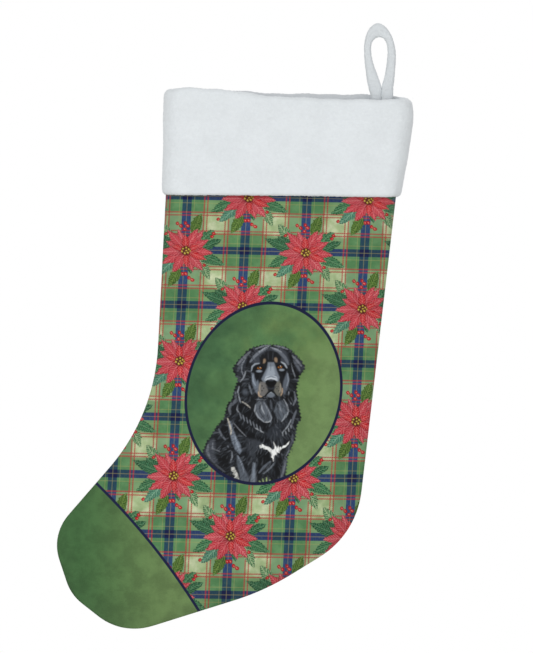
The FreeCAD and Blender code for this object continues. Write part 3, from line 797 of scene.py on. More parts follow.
@dataclass(frozen=True)
class Plush:
    """Finish of the white plush on the cuff and the loop.

    Args:
        colour: the pile's colour.
        facing: a darker colour painted as shade on the side that faces into the mouth, if it differs.
        sheen: strength of the soft light along the pile's edges.
    """

    colour: str = "e6ebee"
    facing: str = ""
    sheen: float = 0.25

    def make(self, effects: Effects, name: str) -> Material:
        """Builds the material.

        Args:
            effects: the shared shader groups.
            name: the material's name.

        Returns:
            The material.
        """
        material, g, shader = blank(name)
        place = g.use(effects.place).outputs["Solid"]
        pile = g.use(effects.pile, {"Place": place}).outputs
        # painted shade: the side facing into the mouth takes the darker facing colour
        colour = self.inside(g, place) if self.facing else tone(self.colour)[:3]
        g.feed_all(shader, {
            "Base Color": g.tint(colour, pile["Shade"]), "Roughness": 0.95, "Specular IOR Level": 0.15,
            "Sheen Weight": self.sheen, "Sheen Roughness": 0.6, "Normal": g.bump(0.5, 0.0006, pile["Height"]),
        })
        return material

    def inside(self, g: Graph, place: Socket) -> Socket:
        """Painted shade: a greyer pile colour on the side of the fold that faces into the mouth, where the
        mouth is shaded.

        Args:
            g: the material's graph.
            place: solid coordinates.

        Returns:
            The pile's colour, with the painted shade inside the mouth.
        """
        x, y, _ = g.split(place)
        # painted shade on the inner half of the fold, away from both ends of the cuff
        deep = g.step(g.math("ABSOLUTE", y), 15.2, 10.5)
        ends = g.math("MULTIPLY", g.step(x, -174.0, -158.0), g.step(x, 20.0, 6.0))
        return g.mix(g.math("MULTIPLY", deep, ends), tone(self.colour), tone(self.facing))


@dataclass(frozen=True)
class Thread:
    """Finish of sewing thread: two plies twisted round each other, with painted shade in the grooves between
    them.
    """

    colour: str
    lay: float = 0.55

    def make(self, effects: Effects, name: str) -> Material:
        """Builds the material.

        Args:
            effects: the shared shader groups.
            name: the material's name.

        Returns:
            The material.
        """
        material, g, shader = blank(name)
        place = g.use(effects.place).outputs["Solid"]
        x, y, z = g.split(place)
        along = g.math("ADD", g.math("ADD", x, y), z)
        twist = g.math("SINE", g.math("MULTIPLY", along, math.tau / self.lay))
        # painted shade: darker in the grooves between the plies, lighter on their crests
        shade = g.step(twist, -1.0, 1.0, 0.8, 1.05)
        fuzz = g.step(g.noise(place, 3.0), 0.3, 0.7, 0.94, 1.04)
        colour = g.tint(tone(self.colour)[:3], g.math("MULTIPLY", shade, fuzz))
        g.feed_all(shader, {
            "Base Color": colour, "Roughness": 0.6, "Sheen Weight": 0.15,
            "Normal": g.bump(0.6, 0.00008, twist),
        })
        return material


@dataclass(frozen=True)
class PaleFloor:
    """Finish of the studio floor."""

    colour: str = "f2f2f0"

    def make(self, name: str) -> Material:
        """Builds the floor's material.

        Args:
            name: the material's name.

        Returns:
            The material.
        """
        material, g, shader = blank(name)
        place = g.add("ShaderNodeTexCoord").outputs["Object"]
        shade = g.step(g.noise(place, 1.5), 0.2, 0.8, 0.98, 1.0)
        g.feed_all(shader, {"Base Color": g.tint(tone(self.colour)[:3], shade), "Roughness": 0.9})
        return material


def blank(name: str) -> tuple[Material, Graph, bpy.types.Node]:
    """Makes an empty material with one shader.

    Args:
        name: the material's name.

    Returns:
        The material, the graph of its tree and its Principled shader.
    """
    material = bpy.data.materials.new(name)
    material.use_nodes = True
    material.node_tree.nodes.clear()
    g = Graph(material.node_tree)
    shader = g.add("ShaderNodeBsdfPrincipled")
    g.add("ShaderNodeOutputMaterial", {"Surface": shader.outputs[0]})
    return material, g, shader


def new_piece(name: str, bm: BMesh, material: Material) -> Object:
    """Turns a bmesh into a smooth-shaded object in the scene.

    Args:
        name: the object's name.
        bm: the mesh, which is freed.
        material: its finish.

    Returns:
        The object.
    """
    mesh = bpy.data.meshes.new(name)
    bm.to_mesh(mesh)
    bm.free()
    mesh.materials.append(material)
    mesh.shade_smooth()
    piece = bpy.data.objects.new(name, mesh)
    bpy.context.scene.collection.objects.link(piece)
    return piece


def places(mesh: bpy.types.Mesh) -> np.ndarray:
    """Reads where a mesh's vertices are.

    Args:
        mesh: the mesh.

    Returns:
        One row of three for each vertex, in metres.
    """
    flat = np.empty(len(mesh.vertices) * 3, np.float64)
    mesh.vertices.foreach_get("co", flat)
    return flat.reshape(-1, 3)


def replace_places(mesh: bpy.types.Mesh, spots: np.ndarray) -> None:
    """Moves the mesh's vertices to the given places, in metres."""
    mesh.vertices.foreach_set("co", spots.astype(np.float32).ravel())
    mesh.update()


def along(points: np.ndarray, count: int) -> np.ndarray:
    """Places points evenly along a line of points.

    Args:
        points: the line.
        count: how many points to give back, ends included.

    Returns:
        The evenly spaced points.
    """
    steps = np.linalg.norm(np.diff(points, axis=0), axis=1)
    reach = np.concatenate(([0.0], np.cumsum(steps)))
    want = np.linspace(0.0, reach[-1], count)
    return np.column_stack([np.interp(want, reach, points[:, i]) for i in range(points.shape[1])])


@dataclass
class StockingShape:
    """The bag's outline in the seam plane, as corners (x, z, radius) from the toe side of the mouth round.

    Args:
        depth: how far the filled bag stands from the seam plane.
        shoulder: how far from the seam the bag reaches its full depth.
        cuff_shoulder: the same under the cuff, which holds the bag flatter and squarer.
    """

    mouth_front: Point = (-178.4, -57.4)
    mouth_back: Point = (22.7, -57.4)
    ankle: tuple[float, float, float] = (-192.0, -321.4, 170.0)
    tip: tuple[float, float, float] = (-280.0, -422.9, 39.0)
    toe: tuple[float, float, float] = (-263.0, -473.9, 39.0)
    ball: tuple[float, float, float] = (-219.0, -508.4, 50.0)
    arch: tuple[float, float, float] = (-98.0, -470.4, 211.0)
    heel: tuple[float, float, float] = (-20.0, -422.4, 75.0)
    depth: float = 12.4
    shoulder: float = 34.0
    cuff_shoulder: float = 12.4
    relaxations: int = 60

    @staticmethod
    def turn(before: tuple, corner: tuple, after: tuple) -> np.ndarray:
        """The arc that rounds one corner.

        Args:
            before: the corner before.
            corner: this corner, with its radius.
            after: the corner after.

        Returns:
            Points along the arc.
        """
        here = np.array(corner[:2])
        back = np.array(before[:2]) - here
        ahead = np.array(after[:2]) - here
        back /= np.linalg.norm(back)
        ahead /= np.linalg.norm(ahead)
        half = math.acos(float(np.clip(back @ ahead, -1.0, 1.0))) / 2.0
        middle = (back + ahead) / np.linalg.norm(back + ahead)
        centre = here + middle * corner[2] / math.sin(half)
        swing = math.pi / 2.0 - half
        side = back - middle * (back @ middle)
        side /= np.linalg.norm(side)
        angles = np.linspace(swing, -swing, 25)
        return np.array([centre + corner[2] * (-middle * math.cos(a) + side * math.sin(a)) for a in angles])

    def sides(self) -> tuple[np.ndarray, np.ndarray, np.ndarray]:
        """The three sewn sides.

        Returns:
            The instep side from the mouth to the toe's tip, the heel side from the mouth to the ball,
            and the toe end from the instep side to the heel side.
        """
        tip = self.turn(self.ankle, self.tip, self.toe)
        ball = self.turn(self.toe, self.ball, self.arch)
        instep = np.vstack([self.mouth_front, self.turn(self.mouth_front, self.ankle, self.tip), tip[:13]])
        heel = self.turn(self.mouth_back, self.heel, self.arch)
        arch = self.turn(self.heel, self.arch, self.ball)
        heel_side = np.vstack([self.mouth_back, heel, arch, ball[12:][::-1]])
        toe = np.vstack([tip[12:], self.turn(self.tip, self.toe, self.ball), ball[:13]])
        return instep, heel_side, toe

    def patch(self, across: int, down: int, inset: float = 0.0) -> np.ndarray:
        """Fills the outline with evenly flowing rows and columns.

        Args:
            across: cells across the stocking.
            down: cells from the mouth to the toe.
            inset: how far the sewn sides move inwards.

        Returns:
            An array of (down + 1) x (across + 1) flat points, the mouth's row first.
        """
        instep, heel, toe = self.sides()
        left = along(instep, down + 1)
        right = along(heel, down + 1)
        bottom = along(toe, across + 1)
        top = along(np.array([self.mouth_front, self.mouth_back]), across + 1)
        u = np.linspace(0.0, 1.0, across + 1)[None, :, None]
        v = np.linspace(0.0, 1.0, down + 1)[:, None, None]
        grid = (1 - v) * top[None] + v * bottom[None] + (1 - u) * left[:, None] + u * right[:, None]
        grid = grid - (1 - u) * (1 - v) * top[0] - u * (1 - v) * top[-1]
        grid = grid - (1 - u) * v * bottom[0] - u * v * bottom[-1]
        for _ in range(self.relaxations):
            around = grid[:-2, 1:-1] + grid[2:, 1:-1] + grid[1:-1, :-2] + grid[1:-1, 2:]
            grid[1:-1, 1:-1] = around / 4.0
        if inset:
            edge = self.edge()
            flat = grid.reshape(-1, 2)
            gap = np.sqrt(((flat[:, None] - edge[None]) ** 2).sum(2))
            push = inset * (1.0 - ease(gap.min(1), 0.0, 40.0))
            flat = flat + self.inward()[gap.argmin(1)] * push[:, None]
            grid = flat.reshape(grid.shape)
        return grid

    def edge(self) -> np.ndarray:
        """Walks along the three sewn sides.

        Returns:
            Points about 1 mm apart.
        """
        instep, heel, toe = self.sides()
        line = np.vstack([instep, toe[1:-1], heel[::-1]])
        length = np.linalg.norm(np.diff(line, axis=0), axis=1).sum()
        return along(line, int(length))

    def inward(self) -> np.ndarray:
        """Finds the way into the bag at each point of its edge.

        Returns:
            One unit direction for each point of the edge.
        """
        turn = np.gradient(self.edge(), axis=0)
        turn /= np.linalg.norm(turn, axis=1)[:, None]
        return np.column_stack([-turn[:, 1], turn[:, 0]])

    def gap(self, flat: np.ndarray) -> np.ndarray:
        """Distance from each flat point to the nearest sewn side.

        Args:
            flat: the flat points.

        Returns:
            Their distances.
        """
        edge = self.edge()
        batches = np.array_split(flat, len(flat) // 2000 + 1)
        gaps = [np.sqrt(((part[:, None] - edge[None]) ** 2).sum(2)).min(1) for part in batches]
        return np.concatenate(gaps)

    def swell(self, flat: np.ndarray) -> np.ndarray:
        """How far each flat point stands from the seam plane when the bag is lightly filled.

        Args:
            flat: the flat points.

        Returns:
            Their depths.
        """
        gap = self.gap(flat)
        soft = 1.0 - (1.0 - np.clip(gap / self.shoulder, 0.0, 1.0)) ** 2.3
        tight = np.sqrt(1.0 - (1.0 - np.clip(gap / self.cuff_shoulder, 0.0, 1.0)) ** 2)
        under_cuff = ease(flat[:, 1], -172.0, -136.0)
        return self.depth * (soft * (1.0 - under_cuff) + tight * under_cuff)


def sheet_grid(across: int, down: int) -> BMesh:
    """Makes a flat unit grid about the origin, ready to be bent to shape.

    Args:
        across: cells across.
        down: cells down.

    Returns:
        The grid.
    """
    bm = bmesh.new()
    bmesh.ops.create_grid(bm, x_segments=across, y_segments=down, size=0.5)
    return bm


def laid_over(bm: BMesh, patch: np.ndarray) -> np.ndarray:
    """Finds the patch's own point for each vertex of a unit grid.

    Args:
        bm: the grid, with the patch's number of cells.
        patch: rows of flat points, the first row at the grid's top.

    Returns:
        One flat point for each vertex.
    """
    down, across = patch.shape[0] - 1, patch.shape[1] - 1
    rows = [round((0.5 - v.co.y) * down) for v in bm.verts]
    columns = [round((v.co.x + 0.5) * across) for v in bm.verts]
    return patch[rows, columns]


def thicken(piece: Object, wall: float) -> None:
    """Gives a sheet its cloth's thickness, inwards.

    Args:
        piece: the sheet.
        wall: the thickness in millimetres.
    """
    solid = piece.modifiers.new("wall", "SOLIDIFY")
    solid.thickness = wall * MM
    solid.offset = -1.0


@dataclass
class Bag:
    """The printed bag: a front and a back panel sewn round three sides.

    Args:
        shape: the outline.
        across: cells across a panel.
        down: cells down a panel.
        wall: the cloth's thickness.
        pressure: how hard the filling pushes.
        slack: how much the cloth may stretch, as a share.
        frames: length of the settling run.
        cap: the largest move that the settling may give.
        cuff_edge: heights between which the cuff's hold on the cloth begins.
    """

    shape: StockingShape
    across: int = 44
    down: int = 108
    wall: float = 0.7
    pressure: float = 3.0
    slack: float = 0.012
    frames: int = 20
    cap: float = 6.0
    cuff_edge: Point = (-146.0, -134.0)

    CLOTH = {
        "quality": 7, "mass": 0.12, "tension_stiffness": 25.0, "compression_stiffness": 25.0,
        "shear_stiffness": 12.0, "bending_stiffness": 0.6, "air_damping": 2.0, "use_pressure": True,
    }

    def soft_shell(self) -> Object:
        """Builds front and back as one shell, joined along the sewn sides.

        Returns:
            The shell.
        """
        bm = sheet_grid(self.across, self.down)
        flat = laid_over(bm, self.shape.patch(self.across, self.down))
        depth = self.shape.swell(flat)
        border = 0.4999
        for vert, (x, z), y in zip(bm.verts, flat, depth):
            sewn = abs(vert.co.x) > border or vert.co.y < -border
            vert.co = Vector((x, 0.0 if sewn else -y, z)) * MM
        for face in bm.faces:
            if face.normal.y > 0:
                face.normal_flip()
        bmesh.ops.mirror(bm, geom=bm.verts[:] + bm.edges[:] + bm.faces[:], axis="Y", merge_dist=1e-6)
        bmesh.ops.recalc_face_normals(bm, faces=bm.faces[:])
        mesh = bpy.data.meshes.new("bag_shell")
        bm.to_mesh(mesh)
        bm.free()
        shell = bpy.data.objects.new("bag_shell", mesh)
        bpy.context.scene.collection.objects.link(shell)
        return shell

    def settle(self, shell: Object) -> None:
        """Lets the cloth fill and wrinkle a little, held along the seam and under the cuff.

        Args:
            shell: the sewn shell, whose mesh is changed.
        """
        spots = places(shell.data)
        held = np.clip(1.0 - np.abs(spots[:, 1]) / (0.12 * MM), 0.0, 1.0)
        held = np.maximum(held, ease(spots[:, 2] / MM, *self.cuff_edge))
        group = shell.vertex_groups.new(name="held")
        for index in np.nonzero(held > 0.01)[0]:
            group.add([int(index)], float(held[index]), "REPLACE")
        cloth = shell.modifiers.new("filling", "CLOTH")
        cloth.settings.vertex_group_mass = "held"
        for name, value in self.CLOTH.items():
            setattr(cloth.settings, name, value)
        cloth.settings.uniform_pressure_force = self.pressure
        cloth.settings.shrink_min = -self.slack
        cloth.settings.shrink_max = -self.slack
        cloth.settings.effector_weights.gravity = 0.0
        cloth.collision_settings.use_collision = False
        cloth.point_cache.frame_start = 1
        cloth.point_cache.frame_end = self.frames
        scene = bpy.context.scene
        for number in range(1, self.frames + 1):
            scene.frame_set(number)
        settled = places(shell.evaluated_get(bpy.context.evaluated_depsgraph_get()).data)
        scene.frame_set(1)
        shell.modifiers.remove(cloth)
        move = settled - spots
        from_seam = self.shape.gap(spots[:, [0, 2]] / MM)
        move[:, [0, 2]] *= (0.3 * ease(from_seam, 6.0, 40.0))[:, None]
        move[:, 1] *= ease(from_seam, 1.0, 16.0)
        size = np.linalg.norm(move, axis=1)
        cap = self.cap * MM
        keep = cap * np.tanh(size / cap) / np.maximum(size, 1e-9)
        LOG.info("bag settled: largest move %.2f mm, mean %.2f mm", size.max() / MM, size.mean() / MM)
        replace_places(shell.data, spots + move * keep[:, None])

    def panel(self, shell: Object, name: str, side: Side, material: Material) -> Object:
        """Cuts one panel off the shell and smooths its surface.

        Args:
            shell: the settled shell.
            name: the panel's name.
            side: which panel this is.
            material: its finish.

        Returns:
            The panel.
        """
        bm = bmesh.new()
        bm.from_mesh(shell.data)
        other = [f for f in bm.faces if f.calc_center_median().y * side.value < 0.0]
        bmesh.ops.delete(bm, geom=other, context="FACES")
        piece = new_piece(name, bm, material)
        smooth = piece.modifiers.new("smooth", "SUBSURF")
        smooth.levels = 1
        smooth.render_levels = 1
        self.bake(piece)
        return piece

    @staticmethod
    def bake(piece: Object) -> None:
        """Applies a piece's modifiers to its mesh.

        Args:
            piece: the piece.
        """
        graph = bpy.context.evaluated_depsgraph_get()
        made = bpy.data.meshes.new_from_object(piece.evaluated_get(graph))
        piece.modifiers.clear()
        old = piece.data
        piece.data = made
        made.name = piece.name
        bpy.data.meshes.remove(old)

    def refine(self, piece: Object, painter: PortraitPainter) -> None:
        """Gives the painted part of the front finer cells, so that it holds the brush strokes.

        Args:
            piece: the front panel.
            painter: the painter, who says where paint goes.
        """
        bm = bmesh.new()
        bm.from_mesh(piece.data)
        bm.verts.ensure_lookup_table()
        spots = np.array([(v.co.x, v.co.z) for v in bm.verts]) / MM
        wanted = painter.covers(spots)
        edges = [e for e in bm.edges if wanted[e.verts[0].index] and wanted[e.verts[1].index]]
        made = bmesh.ops.subdivide_edges(bm, edges=edges, cuts=3, use_grid_fill=True)
        fresh = [v for v in made["geom_inner"] if isinstance(v, bmesh.types.BMVert)]
        for _ in range(3):
            bmesh.ops.smooth_vert(bm, verts=fresh, factor=0.5, use_axis_y=True)
        bm.to_mesh(piece.data)
        bm.free()
        piece.data.shade_smooth()

    def build(self, finishes: dict[str, Material], painter: PortraitPainter) -> list[Object]:
        """Builds both panels.

        Args:
            finishes: materials by name.
            painter: paints the picture on the front panel.

        Returns:
            The two panels.
        """
        shell = self.soft_shell()
        self.settle(shell)
        front = self.panel(shell, "printed_front", Side.FRONT, finishes["front print"])
        back = self.panel(shell, "printed_back", Side.BACK, finishes["back print"])
        bpy.data.objects.remove(shell)
        self.refine(front, painter)
        painter.paint(front)
        for piece, node in ((front, "front_panel"), (back, "back_panel")):
            thicken(piece, self.wall)
            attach(piece, "stocking")
            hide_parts(node)
            LOG.info("%s: %d faces", piece.name, len(piece.data.polygons))
        return [front, back]


@dataclass
class Lining:
    """The plain lining inside the bag, a front and a back sewn like the bag.

    Args:
        shape: the bag's outline.
        across: cells across a lining.
        down: cells down a lining.
        inset: how far the lining's seam lies inside the bag's.
        depth: its largest distance from the seam plane.
        wall: the cloth's thickness.
        clearance: its least distance from the bag's panel.
        limp: the share of the bag's depth that it keeps below the cuff.
    """

    shape: StockingShape
    across: int = 30
    down: int = 74
    inset: float = 5.8
    depth: float = 9.6
    wall: float = 0.6
    clearance: float = 2.4
    limp: float = 0.42

    def build(self, material: Material) -> list[Object]:
        """Builds both linings.

        Args:
            material: their finish.

        Returns:
            The two linings.
        """
        patch = self.shape.patch(self.across, self.down, inset=self.inset)
        pieces = (("lining_front", "front_lining", Side.FRONT), ("lining_back", "back_lining", Side.BACK))
        made = []
        for name, node, side in pieces:
            bm = sheet_grid(self.across, self.down)
            flat = laid_over(bm, patch)
            full = self.shape.swell(flat)
            share = self.limp + (1.0 - self.limp) * ease(flat[:, 1], -150.0, -120.0)
            depth = np.clip(full - self.clearance, 0.0, self.depth) * ease(full, 1.0, 3.4) * share
            for vert, (x, z), y in zip(bm.verts, flat, depth):
                vert.co = Vector((x, side.value * y, z)) * MM
            bmesh.ops.recalc_face_normals(bm, faces=bm.faces[:])
            if sum(f.normal.y for f in bm.faces) * side.value < 0.0:
                bmesh.ops.reverse_faces(bm, faces=bm.faces[:])
            piece = new_piece(name, bm, material)
            thicken(piece, self.wall)
            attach(piece, "stocking")
            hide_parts(node)
            LOG.info("%s: %d faces", piece.name, len(piece.data.polygons))
            made.append(piece)
        return made


@dataclass
class Cuff:
    """The folded plush cuff: an outer wall, the fold at the rim, and a facing sewn inside the mouth.

    Args:
        rim: height of the fold.
        hem: height of the outer wall's lower edge.
        half_depth: distance from the seam plane to the outer wall.
        width: the cuff's width, ends included, on which its cells are counted.
        wall: thickness of the outer wall.
        slot: where the facing starts, inwards from the outside.
        total: where the facing ends, inwards from the outside.
        slot_top: top of the gap that the bag's cloth stands in.
        facing_end: height of the facing's lower edge.
        step: cell size.
        pile: height of the pile's roughness.
        left: how far out the toe end lies at each height.
        right: how far out the heel end lies at each height.
        front_rim: how much the front's fold rises at each place along it.
        back_rim: the same at the back.
        front_hem: how much the hem rises at each place along it.
    """

    rim: float = -47.0
    hem: float = -133.6
    half_depth: float = 17.6
    width: float = 212.0
    wall: float = 5.0
    slot: float = 8.2
    total: float = 10.5
    slot_top: float = -52.0
    facing_end: float = -89.0
    step: float = 1.0
    pile: float = 0.32
    left: list[Point] = field(default_factory=lambda: [
        (-136.0, -184.3), (-128.0, -185.6), (-110.0, -185.1), (-90.0, -184.4), (-70.0, -184.6),
        (-53.0, -184.0), (-43.0, -183.2),
    ])
    right: list[Point] = field(default_factory=lambda: [
        (-136.0, 17.0), (-128.0, 18.6), (-120.0, 20.2), (-104.0, 23.4), (-87.0, 26.0), (-70.0, 28.2),
        (-60.0, 28.4), (-52.0, 27.4), (-43.0, 26.6),
    ])
    front_rim: list[Point] = field(default_factory=lambda: [
        (-186.0, 3.0), (-165.0, 4.4), (-140.0, 3.6), (-118.0, 0.8), (-96.0, -2.6), (-60.0, -4.4),
        (-30.0, -5.2), (0.0, -5.9), (14.0, -5.3), (29.0, -4.6),
    ])
    back_rim: list[Point] = field(default_factory=lambda: [
        (-186.0, 3.0), (-165.0, 4.2), (-140.0, 4.0), (-118.0, 2.5), (-96.0, 0.7), (-60.0, 0.0), (-20.0, -0.4),
        (5.0, -0.9), (20.0, -2.8), (29.0, -4.6),
    ])
    front_hem: list[Point] = field(default_factory=lambda: [
        (-186.0, 0.4), (-170.0, -0.5), (-120.0, -0.7), (-60.0, -1.3), (-20.0, -2.0), (5.0, -2.2),
        (18.0, -1.2),
    ])

    def profile(self) -> np.ndarray:
        """The wall's closed section as (inwards, height), from the hem up the outside.

        Returns:
            Points round the section, the last one before the first again.
        """
        top = self.rim
        roll = self.total / 2.0
        angles = np.linspace(0.0, math.pi, 15)
        outside = [(0.0, z) for z in np.arange(self.hem + 2.6, top - roll, self.step)]
        fold = [(roll - roll * math.cos(a), top - roll + roll * 0.98 * math.sin(a)) for a in angles]
        facing = [(self.total, z) for z in np.arange(top - roll - 2.5, self.facing_end + 1.0, -2.5)]
        turn = [(self.total - 0.6, self.facing_end), (self.slot + 0.6, self.facing_end)]
        inside = [(self.slot, z) for z in np.arange(self.facing_end + 1.0, self.slot_top - 1.0, 3.5)]
        pocket = [(self.slot - 0.6, self.slot_top), (self.wall + 0.6, self.slot_top)]
        behind = [(self.wall, z) for z in np.arange(self.slot_top - 1.0, self.hem + 2.0, -3.5)]
        hem = [
            (self.wall - 1.2, self.hem + 0.3), (self.wall * 0.5, self.hem - 0.1), (1.2, self.hem + 0.4),
            (0.35, self.hem + 1.4),
        ]
        return np.array(outside + fold + facing + turn + inside + pocket + behind + hem)

    def ring(self) -> BMesh:
        """Wraps the section round the stocking's mouth as one closed ring.

        Returns:
            The ring, in metres.
        """
        section = self.profile()
        rows = len(section)
        section = np.vstack([section, section[:1]])
        straight = self.width - 2.0 * self.half_depth
        bend = math.pi * self.half_depth
        length = 2.0 * (straight + bend)
        columns = 2 * round(length / self.step / 2.0)
        bm = sheet_grid(columns, rows)
        co = np.array([v.co[:] for v in bm.verts])
        row = np.rint((co[:, 1] + 0.5) * rows).astype(int)
        inwards = section[row, 0]
        z = section[row, 1]
        reach = ((co[:, 0] + 0.5) * length) % length
        part = np.clip(reach / straight, 0.0, 1.0)
        part -= np.clip((reach - straight - bend) / straight, 0.0, 1.0)
        bent = np.clip(reach - straight, 0.0, bend) + np.clip(reach - 2.0 * straight - bend, 0.0, bend)
        nx = np.sin(bent / self.half_depth)
        ny = -np.cos(bent / self.half_depth)
        left = np.interp(z, *np.array(self.left).T) + self.half_depth
        right = np.interp(z, *np.array(self.right).T) - self.half_depth
        radius = self.half_depth - inwards
        x = left + part * (right - left) + nx * radius
        y = ny * radius
        near_rim = ease(z, -86.0, self.rim)
        near_hem = 1.0 - ease(z, self.hem, self.hem + 26.0)
        back_part = ease(y, -4.0, 4.0)
        lift = np.interp(x, *np.array(self.front_rim).T) * (1.0 - back_part)
        lift += np.interp(x, *np.array(self.back_rim).T) * back_part
        z = z + near_rim * lift + near_hem * np.interp(x, *np.array(self.front_hem).T)
        z = z + near_rim * 0.5 * np.sin(x * 0.19 + 1.0) * np.sin(x * 0.071)
        y = y + np.sign(y) * self.waves(x, z) * ease(np.abs(y), 2.0, 7.0)
        for vert, spot in zip(bm.verts, np.column_stack([x, y, z]) * MM):
            vert.co = spot
        bmesh.ops.remove_doubles(bm, verts=bm.verts[:], dist=5e-6)
        bmesh.ops.recalc_face_normals(bm, faces=bm.faces[:])
        return bm

    def waves(self, x: np.ndarray, z: np.ndarray) -> np.ndarray:
        """Soft waves of the cuff's wall, out from the stocking.

        Args:
            x: places along the cuff.
            z: heights.

        Returns:
            How far the wall moves out.
        """
        slow = 0.55 * np.sin(x * 0.043 + 0.6) + 0.4 * np.sin(x * 0.083 - z * 0.035)
        fold = 0.7 * np.exp(-((z + 118.0 + 0.05 * x) / 9.0) ** 2)
        dent = -0.9 * np.exp(-((x + 30.0 + (z + 70.0) * 0.9) / 13.0) ** 2 - ((z + 72.0) / 20.0) ** 2)
        return slow + fold + dent

    def fluff(self, bm: BMesh) -> None:
        """Roughens the surface into short pile.

        Args:
            bm: the ring.
        """
        rng = np.random.default_rng(11)
        bm.normal_update()
        bm.verts.ensure_lookup_table()
        rise = rng.uniform(-1.0, 1.0, len(bm.verts))
        moves = [v.normal * (self.pile * MM * r) for v, r in zip(bm.verts, rise)]
        for vert, move in zip(bm.verts, moves):
            vert.co += move
        every = {"use_axis_x": True, "use_axis_y": True, "use_axis_z": True}
        bmesh.ops.smooth_vert(bm, verts=bm.verts[:], factor=0.25, **every)

    def half(self, ring: BMesh, name: str, side: Side, material: Material) -> Object:
        """Cuts the front or the back half off the ring and closes its seams.

        Args:
            ring: the whole ring.
            name: the piece's name.
            side: which half to keep.
            material: its finish.

        Returns:
            The half cuff.
        """
        bm = ring.copy()
        geometry = bm.verts[:] + bm.edges[:] + bm.faces[:]
        plane = {"plane_co": (0, 0, 0), "plane_no": (0, -side.value, 0)}
        bmesh.ops.bisect_plane(bm, geom=geometry, dist=1e-7, clear_outer=True, **plane)
        open_edges = [e for e in bm.edges if e.is_boundary]
        bmesh.ops.triangle_fill(bm, edges=open_edges, use_beauty=True)
        bmesh.ops.recalc_face_normals(bm, faces=bm.faces[:])
        return new_piece(name, bm, material)

    def build(self, material: Material) -> list[Object]:
        """Builds both halves.

        Args:
            material: their finish.

        Returns:
            The two halves.
        """
        ring = self.ring()
        self.fluff(ring)
        pieces = (("plush_cuff_front", "cuff_front", Side.FRONT), ("plush_cuff_back", "cuff_back", Side.BACK))
        made = []
        for name, node, side in pieces:
            piece = self.half(ring, name, side, material)
            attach(piece, "stocking")
            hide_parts(node)
            LOG.info("%s: %d faces", name, len(piece.data.polygons))
            made.append(piece)
        ring.free()
        return made


